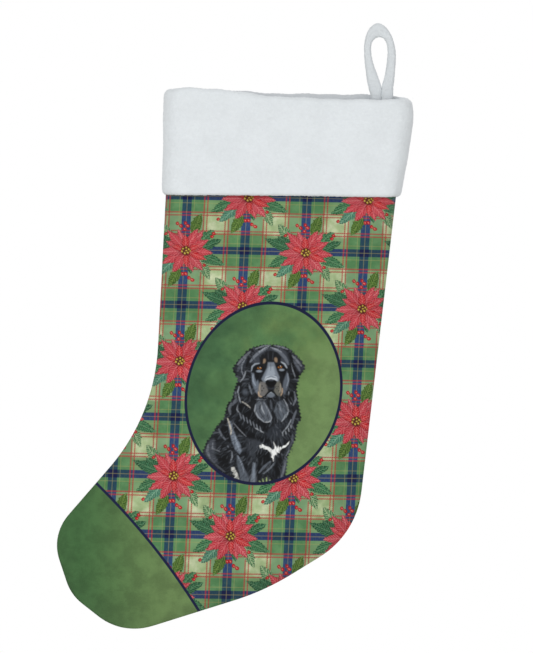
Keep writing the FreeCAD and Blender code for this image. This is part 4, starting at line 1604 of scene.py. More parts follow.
@dataclass
class HangingLoop:
    """The plush hanging loop: one folded strip, with both ends sewn inside the back of the mouth.

    Args:
        thickness: half the strip's thickness.
        steps: cells along the strip.
        around: cells round it.
        pile: height of the pile's roughness.
        square: how square its section is, from 0 for a box to 1 for an oval.
        groove: depth of the strip's long seam.
        ribs: outer x and z, inner x and z, and how far back it lies, from one sewn end to the other.
    """

    thickness: float = 3.55
    steps: int = 260
    around: int = 30
    pile: float = 0.24
    square: float = 0.8
    groove: float = 0.35
    ribs: list[tuple[float, float, float, float, float]] = field(default_factory=lambda: [
        (-7.0, -77.0, -0.6, -77.0, 4.8), (-7.2, -70.0, -0.4, -70.0, 4.8), (-7.5, -62.0, 0.0, -62.0, 4.4),
        (-7.2, -56.0, 0.8, -56.0, 1.6), (-7.9, -49.5, 1.3, -48.5, 0.1), (-9.6, -43.0, 1.2, -42.2, 0.0),
        (-11.2, -35.0, -1.6, -33.0, 0.0), (-12.4, -26.0, -4.8, -24.6, 0.0), (-13.4, -14.0, -7.4, -13.6, 0.0),
        (-13.2, -4.0, -7.4, -6.0, 0.0), (-11.0, 4.4, -5.7, -1.9, 0.0), (-7.0, 10.2, -3.0, 0.2, 0.0),
        (-2.2, 12.7, -0.6, 0.8, 0.0),
        (2.6, 11.0, 2.0, 0.2, 0.0), (6.8, 6.9, 4.3, -2.0, 0.0), (10.4, 0.6, 5.8, -5.6, 0.0),
        (12.7, -7.6, 6.5, -10.8, 0.0), (13.4, -17.0, 6.2, -17.6, 0.0), (12.9, -26.0, 5.2, -25.6, 0.0),
        (12.1, -35.0, 3.4, -34.4, 0.0), (11.2, -43.0, 1.3, -42.4, 0.0), (11.0, -49.5, 0.8, -49.0, 0.1),
        (9.4, -56.0, 1.3, -56.0, 1.6), (8.6, -62.0, 1.7, -62.0, 4.4), (8.4, -70.0, 1.9, -70.0, 4.8),
        (8.2, -77.0, 2.0, -77.0, 4.8),
    ])

    def rails(self) -> np.ndarray:
        """Runs a smooth curve through the ribs.

        Returns:
            A rib for each step along the strip.
        """
        keys = np.array(self.ribs)
        middle = np.column_stack([(keys[:, 0:2] + keys[:, 2:4]) / 2, keys[:, 4]])
        reach = np.concatenate(([0.0], np.cumsum(np.linalg.norm(np.diff(middle, axis=0), axis=1))))
        want = np.linspace(0.0, reach[-1], self.steps + 1)
        slopes = np.gradient(keys, reach, axis=0)
        index = np.clip(np.searchsorted(reach, want, side="right") - 1, 0, len(keys) - 2)
        span = (reach[index + 1] - reach[index])[:, None]
        t = ((want - reach[index]) / span[:, 0])[:, None]
        start = (2 * t ** 3 - 3 * t ** 2 + 1) * keys[index] + (t ** 3 - 2 * t ** 2 + t) * span * slopes[index]
        end = (-2 * t ** 3 + 3 * t ** 2) * keys[index + 1] + (t ** 3 - t ** 2) * span * slopes[index + 1]
        return start + end

    def build(self, material: Material) -> Object:
        """Builds the strip.

        Args:
            material: its finish.

        Returns:
            The loop.
        """
        rails = self.rails()
        bm = sheet_grid(self.steps, self.around)
        rng = np.random.default_rng(5)
        for vert in bm.verts:
            row = rails[round((vert.co.x + 0.5) * self.steps)]
            angle = (vert.co.y + 0.5) * math.tau
            wide = math.copysign(abs(math.cos(angle)) ** self.square, math.cos(angle))
            deep = math.copysign(abs(math.sin(angle)) ** self.square, math.sin(angle))
            x = (row[0] + row[2]) / 2 + (row[0] - row[2]) / 2 * wide
            z = (row[1] + row[3]) / 2 + (row[1] - row[3]) / 2 * wide
            size = math.hypot(row[0] - row[2], row[1] - row[3])
            pressed = 1.2 * float(ease(row[4], 0.5, 4.0))
            depth = self.thickness * (1.0 - 0.05 * max(0.0, size - 7.0)) - pressed
            groove = self.groove * math.exp(-((wide - 0.12) / 0.16) ** 2)
            vert.co = Vector((x, row[4] + deep * (depth - groove), z)) * MM
        bmesh.ops.remove_doubles(bm, verts=bm.verts[:], dist=2e-6)
        ends = [e for e in bm.edges if e.is_boundary]
        bmesh.ops.holes_fill(bm, edges=ends, sides=0)
        bmesh.ops.recalc_face_normals(bm, faces=bm.faces[:])
        bm.normal_update()
        moves = [v.normal * float(rng.uniform(-self.pile, self.pile)) * MM for v in bm.verts]
        for vert, move in zip(bm.verts, moves):
            vert.co += move
        piece = new_piece("plush_loop", bm, material)
        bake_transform(piece)
        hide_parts("hanging_loop", "loop_tail_toe_side", "loop_tail_heel_side")
        LOG.info("plush_loop: %d faces", len(piece.data.polygons))
        return piece


def distance_to_line(at: np.ndarray, points: np.ndarray) -> tuple[np.ndarray, np.ndarray]:
    """Distance from each point to a line of points.

    Args:
        at: the points.
        points: the line's own points.

    Returns:
        The distances, and how far along the line the nearest place is, from 0 to 1.
    """
    best = np.full(len(at), 1e9)
    where = np.zeros(len(at))
    lengths = np.linalg.norm(np.diff(points, axis=0), axis=1)
    reach = np.concatenate(([0.0], np.cumsum(lengths)))
    for k, (a, b) in enumerate(zip(points[:-1], points[1:])):
        run = b - a
        t = np.clip(((at - a) @ run) / max(run @ run, 1e-9), 0.0, 1.0)
        gap = np.linalg.norm(at - a - t[:, None] * run, axis=1)
        nearer = gap < best
        best[nearer] = gap[nearer]
        where[nearer] = (reach[k] + t[nearer] * lengths[k]) / reach[-1]
    return best, where


def filled(points: list[Point], at: np.ndarray, soft: float) -> np.ndarray:
    """Fills a closed outline, with a soft edge.

    Args:
        points: the outline's corners.
        at: the points to look at.
        soft: half the width of the edge.

    Returns:
        How full the outline is at each point, from 0 to 1.
    """
    line = np.array(points + points[:1])
    gap, _ = distance_to_line(at, line)
    inside = np.zeros(len(at), bool)
    for (x0, y0), (x1, y1) in zip(line[:-1], line[1:]):
        crosses = (y0 > at[:, 1]) != (y1 > at[:, 1])
        if y0 != y1:
            inside ^= crosses & (at[:, 0] < (x1 - x0) * (at[:, 1] - y0) / (y1 - y0) + x0)
    return ease(np.where(inside, gap, -gap), -soft, soft)


@dataclass(frozen=True)
class Patch:
    """A filled shape with a soft edge."""

    shade: str
    points: list[Point]
    soft: float = 0.8
    strength: float = 0.95

    def cover(self, at: np.ndarray) -> np.ndarray:
        """How much each point about the oval's centre is covered, from 0 to 1."""
        return self.strength * filled(self.points, at, self.soft)


@dataclass(frozen=True)
class Stroke:
    """A brush stroke that thins towards both ends."""

    shade: str
    width: float
    points: list[Point]
    strength: float = 0.7

    def cover(self, at: np.ndarray) -> np.ndarray:
        """How much each point is covered.

        Args:
            at: flat points about the oval's centre.

        Returns:
            The cover, from 0 to 1.
        """
        gap, where = distance_to_line(at, np.array(self.points))
        half = self.width * 0.5 * (0.45 + 0.55 * np.sin(np.pi * np.clip(where, 0.02, 0.98)) ** 0.6)
        return self.strength * (1.0 - ease(gap - half, -0.3, 0.4))


@dataclass(frozen=True)
class Spot:
    """A soft oval dab."""

    shade: str
    x: float
    y: float
    half_x: float
    half_y: float
    lean: float = 0.0
    soft: float = 0.5
    strength: float = 1.0

    def cover(self, at: np.ndarray) -> np.ndarray:
        """How much each point is covered.

        Args:
            at: flat points about the oval's centre.

        Returns:
            The cover, from 0 to 1.
        """
        turn = math.radians(self.lean)
        away = at - np.array([self.x, self.y])
        side = (away[:, 0] * math.cos(turn) + away[:, 1] * math.sin(turn)) / self.half_x
        up = (away[:, 1] * math.cos(turn) - away[:, 0] * math.sin(turn)) / self.half_y
        return self.strength * (1.0 - ease(np.hypot(side, up), 1.0 - self.soft, 1.0 + self.soft * 0.6))


def strokes(shade: str, width: float, runs: list[list[Point]], strength: float = 0.7) -> list[Stroke]:
    """Several strokes of one colour and width."""
    return [Stroke(shade, width, run, strength) for run in runs]


def dabs(
    shade: str, half_x: float, half_y: float, centres: list[Point], soft: float = 0.5,
    strength: float = 1.0,
) -> list[Spot]:
    """Several dabs of one colour and size."""
    return [Spot(shade, x, y, half_x, half_y, soft=soft, strength=strength) for x, y in centres]


@dataclass(frozen=True)
class Hairs:
    """One growth of fine hairs.

    Args:
        count: how many are tried.
        stretch: factor on their length.
        width: their least and greatest width.
        strength: how much they cover.
        ruff: the height above which hairs grow out from the face.
    """

    count: int
    stretch: float
    width: tuple[float, float]
    strength: float
    ruff: float = 2.0

    SHADES = {"0c0d10": 0.3, "24272c": 0.26, "34383f": 0.2, "4a4f57": 0.15, "666b74": 0.09}


# the dog's paint, from the first layer to the last, about the oval's centre
LAYERS = [
    # head: ears, crown and brow
    Patch("2b2e35", [
        (-20.3, 29.1), (-14.8, 34.2), (-10.5, 36.5), (-11.6, 29.5), (-14.8, 21.6), (-17.2, 15.3),
        (-21.1, 13.7), (-25.4, 20.8),
    ], 0.8, 1.0),
    Stroke("7b7f88", 2.04, [(-11.3, 35.4), (-14.8, 32.2), (-18.7, 28.3), (-21.9, 24.4)], 0.75),
    Stroke("575c66", 2.67, [(-16.4, 27.1), (-20.3, 22.4), (-21.9, 19.2)]),
    Stroke("8a9099", 0.94, [(-14.8, 30.3), (-18.3, 24.8), (-18.7, 19.2), (-17.2, 15.3)]),
    Stroke("9aa0a8", 0.94, [(-14.8, 21.6), (-15.6, 16.9), (-17.2, 13.0), (-19.9, 9.8)], 0.8),
    Stroke("0e0f13", 1.73, [(-8.1, 37.3), (-12.0, 31.8), (-14.0, 24.8), (-15.2, 19.2)], 0.95),
    Patch("2f3239", [
        (22.6, 36.5), (27.7, 32.2), (31.6, 28.3), (34.9, 22.4), (31.2, 16.1), (28.5, 19.2), (25.3, 27.1),
    ], 0.8, 1.0),
    Stroke("7a7f88", 1.89, [(24.5, 31.8), (28.5, 27.5), (32.0, 23.2)], 0.8),
    Stroke("666b75", 2.04, [(25.3, 27.9), (29.2, 22.4), (30.8, 19.2)]),
    Stroke("8d939b", 0.94, [(23.7, 25.5), (24.9, 19.2), (26.9, 13.7)], 0.75),
    Stroke("0c0d11", 2.04, [(20.6, 36.5), (23.4, 30.3), (25.3, 22.4), (28.1, 14.5)], 0.95),
    Stroke("0d0e12", 2.83, [(29.2, 17.7), (27.7, 12.2)], 0.9),
    Patch("3d4149", [
        (-10.1, 26.3), (-7.7, 31.8), (-2.2, 36.5), (5.7, 39.3), (13.5, 38.9), (19.0, 35.8), (21.8, 27.9),
        (19.8, 21.6), (15.1, 26.3), (7.2, 27.1), (0.9, 27.1), (-6.9, 24.0),
    ], 1.2, 1.0),
    Stroke("8b9099", 1.1, [(-6.9, 37.7), (0.1, 40.3), (5.7, 40.9)], 0.75),
    Stroke("858a93", 1.26, [(8.8, 40.6), (15.1, 39.5), (20.6, 37.3)], 0.75),
    Stroke("7f858f", 2.36, [(-11.3, 26.7), (-7.7, 31.4), (-3.0, 35.4), (3.3, 38.5)]),
    Stroke("a6acb4", 0.94, [(-3.8, 35.0), (0.9, 38.5), (4.5, 39.9)], 0.8),
    Stroke("727882", 2.67, [(8.0, 38.1), (13.5, 35.4), (18.2, 30.3), (21.0, 24.8)], 0.62),
    Stroke("a0a6af", 0.94, [(6.4, 38.9), (11.2, 37.3), (15.1, 35.0)], 0.75),
    Patch("121317", [
        (-3.8, 31.0), (0.9, 35.0), (5.7, 36.5), (11.2, 35.0), (15.1, 31.0), (14.3, 26.7), (8.8, 25.5),
        (6.0, 26.7), (3.3, 25.1), (-3.0, 26.3),
    ], 0.9),
    *strokes("3c3f46", 0.94, [[(3.7, 35.0), (4.1, 28.7)], [(8.0, 35.0), (7.6, 28.3)]], 0.6),
    Spot("8a7560", 0.5, 27.4, 1.42, 2.2, lean=-15),
    Spot("8d7762", 10.5, 28.4, 1.57, 2.28, lean=15),
    Spot("121317", -1.3, 27.0, 0.94, 2.04, lean=-15),
    Spot("121317", 12.7, 27.7, 0.94, 2.04, lean=15),
    # face
    Stroke("9aa3ae", 1.26, [(-10.4, 19.2), (-9.6, 22.8), (-7.2, 24.9), (-3.8, 25.5)], 0.85),
    Stroke("aab2bb", 1.26, [(15.1, 26.6), (17.8, 24.9), (19.7, 21.6)], 0.85),
    Patch("6d7682", [
        (-10.4, 17.7), (-8.1, 16.9), (-4.6, 10.6), (-3.0, 4.3), (-3.8, -2.0), (-6.9, 1.2), (-9.7, 8.2),
    ], 0.9, 0.9),
    Stroke("98a2af", 1.26, [(-9.1, 15.7), (-8.9, 10.6), (-6.9, 6.7)], 0.75),
    Patch("5c636e", [
        (19.8, 18.5), (22.0, 12.2), (20.6, 4.3), (17.8, -1.2), (15.9, 1.2), (16.7, 9.8),
    ], 0.9, 0.9),
    Stroke("8d96a2", 1.02, [(20.4, 16.9), (21.0, 10.6), (19.4, 5.1)]),
    Patch("0e0f13", [
        (-8.1, 21.6), (-5.4, 24.0), (-1.4, 24.1), (0.9, 21.6), (0.1, 19.2), (-3.8, 17.7), (-3.8, 13.7),
        (-6.1, 9.8), (-7.7, 13.7),
    ], 0.6, 0.96),
    Patch("0e0f13", [
        (10.8, 24.0), (14.3, 25.1), (17.1, 24.0), (19.4, 20.8), (18.6, 16.1), (17.1, 13.7), (15.1, 17.7),
        (11.9, 20.0),
    ], 0.6, 0.96),
    Patch("79818c", [
        (3.7, 26.3), (8.8, 26.3), (11.2, 19.2), (13.5, 13.7), (12.7, 9.0), (0.1, 9.0), (-1.8, 12.2),
        (0.9, 17.7), (2.9, 21.6),
    ]),
    Patch("9aa3ae", [
        (4.5, 22.8), (8.4, 22.8), (10.0, 16.1), (7.2, 14.4), (4.1, 14.4), (1.3, 13.7), (2.9, 18.1),
    ], 0.9, 0.9),
    Stroke("4b515b", 0.79, [(6.0, 25.5), (6.0, 19.2)], 0.5),
    *strokes("b9c1ca", 0.94, [
        [(0.9, 11.4), (1.9, 13.7), (4.9, 14.9)], [(11.6, 11.4), (10.8, 13.7), (8.0, 14.9)],
    ], 0.8),
    Spot("868f9a", -3.8, 18.8, 2.67, 1.1),
    Spot("868f9a", 15.4, 19.9, 2.36, 1.1),
    *dabs("a2662a", 1.97, 1.18, [(-3.6, 21.6), (13.8, 22.4)], soft=0.35),
    *dabs("120c08", 0.87, 0.94, [(-3.6, 21.8), (13.8, 22.5)], soft=0.35),
    *strokes("08090b", 0.79, [
        [(-6.3, 21.6), (-3.8, 23.2), (-1.0, 21.9)], [(11.3, 22.4), (13.7, 24.0), (16.4, 22.9)],
    ], 0.95),
    *dabs("d9dde0", 0.39, 0.39, [(-3.0, 22.2), (14.3, 23.0)], soft=0.3),
    # muzzle, nose and mouth
    Patch("6f6d6b", [
        (-3.0, 9.8), (0.9, 9.8), (2.9, 5.9), (3.7, 1.9), (0.9, -2.0), (-3.0, -4.0), (-5.0, 0.4), (-4.6, 5.9),
    ]),
    Patch("67665f", [
        (10.0, 9.8), (13.5, 10.6), (15.1, 5.9), (15.9, 0.4), (14.3, -3.6), (10.8, -1.2), (8.8, 2.3),
        (9.6, 5.9),
    ]),
    Stroke("c2a688", 1.18, [(-4.4, 1.2), (-3.8, -2.0), (-1.6, -2.9)], 0.8),
    Stroke("b79c80", 1.1, [(15.9, 4.3), (15.7, 0.4), (14.5, -2.0)], 0.8),
    Stroke("a39a8c", 1.1, [(-3.0, 8.2), (-3.4, 4.3), (-3.0, 0.4)]),
    Stroke("a39a8c", 1.1, [(14.1, 8.2), (14.5, 4.3), (13.5, 0.4)], 0.65),
    *dabs("23211f", 0.55, 0.63, [
        (-1.3, 6.3), (0.1, 4.3), (-1.3, 2.3), (12.3, 5.9), (11.3, 3.9), (12.9, 2.3),
    ], soft=0.4, strength=0.8),
    Patch("c5ccd4", [
        (1.1, 10.6), (2.4, 12.8), (6.3, 13.7), (10.4, 12.8), (11.6, 10.6), (9.6, 11.4), (6.3, 12.2),
        (3.1, 11.2),
    ], 0.4),
    Patch("08090c", [
        (1.4, 10.1), (3.1, 11.5), (6.3, 11.9), (9.7, 11.4), (11.3, 10.0), (10.5, 7.8), (8.4, 6.0),
        (6.3, 5.4), (3.9, 6.2), (2.0, 7.9),
    ], 0.4, 1.0),
    Spot("4a4f57", 6.3, 10.9, 2.67, 0.55, soft=0.4, strength=0.8),
    Stroke("060708", 0.94, [(6.3, 5.9), (6.3, 2.3)], 0.9),
    Stroke("343840", 1.26, [(2.1, 5.9), (3.7, 4.3), (6.3, 3.9), (8.8, 4.3), (10.8, 5.9)], 0.6),
    Patch("6f7680", [
        (2.4, -1.2), (4.5, 0.8), (6.3, 1.5), (8.4, 0.8), (10.0, -1.2), (8.8, -2.9), (6.3, -3.6), (3.7, -2.9),
    ], 0.6),
    Stroke("a4acb5", 0.63, [(3.9, 0.0), (6.3, 1.0), (8.5, 0.0)], 0.75),
    Stroke("060709", 1.1, [
        (-3.0, -4.2), (0.9, -2.5), (3.7, 0.2), (6.3, 2.1), (9.0, 0.2), (11.6, -2.5), (15.1, -3.7),
    ], 0.95),
    Stroke("0a0b0e", 1.57, [(0.1, -4.2), (6.3, -4.7), (12.7, -4.2)], 0.9),
    Stroke("8c939c", 0.63, [(-7.7, -5.1), (-3.8, -5.1), (0.9, -5.8)]),
    # neck, ruff and chest
    Patch("0b0c10", [
        (-20.3, 7.4), (-13.2, 4.3), (-7.7, -3.6), (-5.4, -5.9), (16.7, -5.1), (27.7, 5.9), (28.5, -5.9),
        (23.0, -9.9), (19.0, -5.1), (-6.9, -6.7), (-18.7, -2.0),
    ], 1.0, 0.85),
    Stroke("7d858f", 1.57, [(-12.4, 7.4), (-11.3, 3.5), (-10.1, -0.4)], 0.6),
    Spot("5b626c", -15.6, 1.2, 2.67, 2.83, lean=20, soft=0.9, strength=0.8),
    Stroke("9aa1aa", 1.1, [(-20.7, 5.9), (-21.9, 1.2), (-20.7, -3.6), (-19.5, -8.3)], 0.75),
    Stroke("b4b0a8", 1.1, [(-18.3, -7.1), (-14.8, -9.1), (-11.3, -12.2)], 0.85),
    Stroke("6f757e", 2.04, [(-23.8, 1.2), (-23.4, -5.1), (-26.6, -9.9)], 0.6),
    Patch("5e646d", [
        (-6.9, -9.1), (-3.8, -5.9), (0.9, -7.1), (4.5, -13.0), (7.2, -20.1), (5.7, -24.4), (0.9, -24.4),
        (-4.6, -20.9), (-7.7, -15.4),
    ]),
    Stroke("9ba1a9", 1.18, [(-6.9, -9.9), (-7.6, -14.6), (-4.6, -20.1), (0.1, -24.0)], 0.8),
    Stroke("a7adb4", 1.02, [(-2.2, -7.5), (-1.4, -13.0), (0.9, -17.7)], 0.8),
    Stroke("8f959e", 1.1, [(0.9, -8.3), (4.1, -14.6), (6.8, -20.9), (5.7, -24.4)]),
    Stroke("2a2d33", 0.94, [(-3.8, -9.9), (-3.0, -16.1), (0.9, -21.7)]),
    Stroke("c3c7cb", 0.71, [(0.9, -24.4), (3.7, -24.4), (6.0, -23.2)]),
    Patch("596069", [
        (11.2, -7.5), (15.9, -5.9), (19.8, -11.4), (21.0, -17.7), (18.2, -21.7), (15.1, -24.0),
        (11.2, -20.9), (8.8, -15.4),
    ]),
    Stroke("9aa0a8", 1.1, [(17.1, -5.1), (19.8, -9.9), (21.0, -15.4), (19.0, -20.1)], 0.8),
    Stroke("868c95", 1.26, [(12.7, -9.1), (14.3, -13.8), (16.7, -16.9)], 0.75),
    Stroke("a4aab1", 0.79, [(15.1, -24.0), (17.1, -21.7), (18.6, -17.7)], 0.75),
    Stroke("2a2d33", 0.87, [(11.9, -9.9), (12.3, -16.1), (15.1, -21.7)]),
    Stroke("555b64", 1.73, [(5.8, -5.9), (6.4, -9.9), (6.8, -13.0)]),
    Patch("0a0b0f", [
        (-21.1, -7.5), (-16.4, -9.1), (-10.1, -14.6), (-3.8, -22.4), (4.1, -27.9), (8.8, -31.9),
        (4.1, -33.4), (-5.4, -30.3), (-13.2, -23.2), (-19.5, -16.9), (-21.9, -11.4),
    ], 1.0, 0.92),
    Stroke("a1a8b1", 0.94, [(21.4, 1.2), (21.0, -3.6), (23.4, -9.1)]),
    Patch("08090c", [(19.0, -2.0), (23.4, -0.4), (24.5, -5.1), (22.6, -8.3), (19.8, -5.9)], 0.7),
    Stroke("868c96", 1.73, [(26.1, 1.2), (27.3, -5.1), (25.3, -9.9)], 0.6),
    Stroke("737983", 1.89, [(27.7, -14.6), (25.3, -20.9), (24.5, -25.6)], 0.6),
    Stroke("9fa6ae", 1.1, [(23.4, -22.4), (20.6, -27.9), (15.9, -33.4)]),
    *strokes("a9afb6", 0.79, [
        [(15.9, -33.1), (16.4, -36.0)], [(18.6, -31.9), (19.1, -34.8)], [(21.0, -29.5), (21.5, -32.4)],
        [(23.0, -26.8), (23.4, -29.7)],
    ]),
    Patch("2d3138", [
        (4.1, -30.3), (11.2, -25.6), (16.7, -25.6), (15.1, -30.3), (15.1, -36.6), (10.4, -39.7),
        (5.7, -39.0), (2.5, -35.0),
    ], 1.4, 0.9),
    # shoulder, flank and legs
    Stroke("6b7078", 2.36, [(-27.4, -8.3), (-29.0, -13.0), (-28.2, -17.7)]),
    Stroke("9a9fa6", 0.79, [(-21.9, -9.9), (-22.7, -13.8), (-20.3, -16.9)]),
    *strokes("848a93", 0.94, [
        [(-20.3, -16.6), (-19.0, -21.3)], [(-17.5, -18.5), (-16.2, -23.2)], [(-14.6, -20.4), (-13.4, -25.1)],
        [(-11.8, -22.3), (-10.5, -27.0)], [(-9.0, -24.2), (-7.7, -28.9)], [(-6.1, -26.1), (-4.9, -30.8)],
        [(-3.3, -27.9), (-2.1, -32.7)],
    ], 0.72),
    Stroke("b0b5bb", 0.94, [(-6.9, -29.5), (-3.8, -31.1), (0.1, -33.4)], 0.75),
    Patch("0a0b0f", [
        (-25.8, -21.7), (-21.1, -24.0), (-13.2, -31.1), (-3.8, -36.6), (4.1, -39.7), (8.0, -45.2),
        (0.9, -42.9), (-8.5, -40.5), (-18.7, -35.8), (-24.2, -29.5),
    ], 1.0, 0.92),
    Patch("0b0c10", [
        (-36.0, -25.6), (-32.9, -21.7), (-31.3, -24.0), (-29.7, -31.9), (-27.4, -39.7), (-28.2, -42.9),
        (-32.9, -37.4), (-36.4, -31.1),
    ]),
    Patch("747d8a", [
        (-30.5, -22.4), (-27.8, -24.0), (-25.8, -30.3), (-22.7, -38.2), (-19.5, -43.7), (-18.7, -49.2),
        (-20.3, -51.5), (-24.2, -47.6), (-27.0, -40.5), (-29.0, -31.9),
    ]),
    Stroke("c8c1b2", 1.34, [(-30.5, -21.3), (-29.1, -25.6), (-27.4, -31.5), (-27.8, -35.0)], 0.85),
    Stroke("96a0ae", 1.42, [(-24.2, -36.6), (-22.7, -42.1), (-20.3, -48.4)], 0.75),
    Stroke("8f949c", 0.79, [(-25.0, -25.6), (-20.3, -31.1), (-14.8, -36.6)], 0.6),
    Patch("3a3e45", [
        (-14.8, -38.2), (-6.9, -39.0), (-0.6, -42.1), (-5.4, -47.6), (-6.9, -56.3), (-11.6, -52.3),
        (-14.8, -45.2),
    ], 1.6, 0.85),
    Stroke("6f757f", 1.73, [(-38.0, -30.3), (-36.0, -35.0), (-32.5, -39.3)], 0.65),
    Patch("484c54", [
        (-49.4, -47.6), (-45.5, -39.7), (-42.3, -38.2), (-40.7, -43.7), (-41.5, -51.5), (-38.4, -59.4),
        (-43.9, -57.8), (-48.6, -53.9),
    ], 1.6, 0.9),
    Stroke("7b8089", 2.04, [(-47.0, -43.7), (-47.8, -49.2), (-45.5, -54.7)], 0.6),
    Stroke("868b93", 1.1, [(-43.1, -42.1), (-43.5, -46.8), (-37.2, -49.2)], 0.6),
    Stroke("5a5f67", 1.57, [(-45.5, -54.7), (-39.2, -61.8), (-32.9, -66.5)], 0.6),
    Stroke("848b95", 0.94, [(-30.5, -44.5), (-29.7, -46.0)]),
    Stroke("8a9099", 1.26, [(-27.0, -49.2), (-26.6, -53.9), (-28.2, -58.6)]),
    Stroke("7a8089", 1.1, [(-31.3, -55.5), (-30.5, -53.1)], 0.6),
    Patch("0a0b0e", [
        (-40.7, -51.5), (-34.5, -47.6), (-29.0, -50.0), (-29.7, -60.2), (-28.2, -64.9), (-34.5, -61.8),
        (-38.4, -57.0),
    ], 1.4, 0.8),
    Patch("cfcfca", [
        (-27.5, -62.7), (-24.9, -62.4), (-23.3, -65.7), (-22.0, -68.1), (-20.8, -72.8), (-23.0, -72.1),
        (-24.9, -71.5), (-23.9, -69.8), (-26.4, -68.5), (-25.2, -67.3), (-27.4, -65.7),
    ], 0.45),
    Patch("5b626c", [
        (-22.7, -52.3), (-19.5, -55.5), (-16.4, -63.3), (-13.2, -69.6), (-11.6, -77.5), (-19.5, -77.5),
        (-20.3, -68.1), (-22.7, -59.4),
    ], 1.0, 0.9),
    Stroke("8a93a0", 1.42, [(-21.9, -53.1), (-18.7, -59.4), (-16.4, -67.3)], 0.65),
    Patch("7d8692", [
        (-8.9, -58.6), (-6.0, -59.4), (-6.5, -66.5), (-7.7, -77.5), (-11.6, -77.5), (-10.1, -68.1),
    ], 0.9),
    Patch("0b0c0f", [
        (-6.9, -49.2), (5.7, -50.0), (8.0, -56.3), (0.9, -59.4), (-3.8, -66.5), (-5.4, -72.8), (-6.9, -64.9),
    ], 1.0, 0.9),
    Stroke("646b75", 1.89, [(-3.8, -67.3), (0.1, -62.6), (5.7, -57.8)], 0.75),
    Stroke("7b828c", 1.42, [(0.1, -68.1), (5.7, -63.3), (10.4, -57.8)]),
    Stroke("484d55", 1.73, [(8.8, -60.2), (10.4, -57.0), (8.8, -53.1)], 0.6),
    Patch("0c0d10", [
        (10.4, -53.9), (18.2, -52.3), (16.7, -59.4), (13.5, -68.1), (10.4, -77.5), (4.1, -77.5),
        (8.0, -64.9),
    ], 1.0, 0.9),
    Patch("565b64", [
        (17.1, -56.3), (20.2, -55.5), (19.4, -62.6), (16.7, -68.8), (15.1, -75.9), (12.7, -75.9),
        (15.1, -66.5),
    ], 0.8, 0.9),
    Stroke("7d838c", 0.94, [(19.0, -57.0), (17.1, -64.9), (15.1, -71.2)], 0.65),
    Stroke("575d66", 2.04, [(24.5, -35.0), (24.5, -40.5), (21.4, -46.0)], 0.6),
    Stroke("787e87", 1.1, [(21.4, -48.4), (19.0, -53.1)]),
    # white blaze and grass
    Patch("f3f4f2", [
        (-3.8, -44.1), (-1.6, -43.5), (-1.3, -42.7), (0.9, -44.5), (4.5, -45.4), (7.6, -47.8), (9.3, -46.8),
        (8.3, -40.9), (9.4, -42.9), (11.3, -46.2), (12.4, -44.3), (13.4, -46.0), (14.5, -45.2),
        (15.1, -46.3), (16.7, -44.3), (18.4, -44.1), (22.0, -40.4), (21.2, -43.0), (18.6, -45.7),
        (15.5, -46.8), (13.7, -48.9), (13.4, -50.6), (11.6, -50.0), (11.0, -52.3), (9.7, -52.0),
        (8.8, -53.6), (8.4, -58.0), (7.4, -54.8), (6.3, -54.1), (6.9, -52.0), (5.3, -49.7), (3.1, -47.6),
        (0.1, -47.3), (-0.3, -46.0), (-3.0, -46.5),
    ], 0.35, 1.0),
    *strokes("a9bf84", 0.94, [
        [(0.1, -76.3), (-0.8, -72.4)], [(2.5, -76.3), (2.5, -71.4)], [(4.5, -76.3), (5.6, -73.2)],
        [(-1.4, -76.7), (-3.8, -74.3)],
    ], 0.85),
]


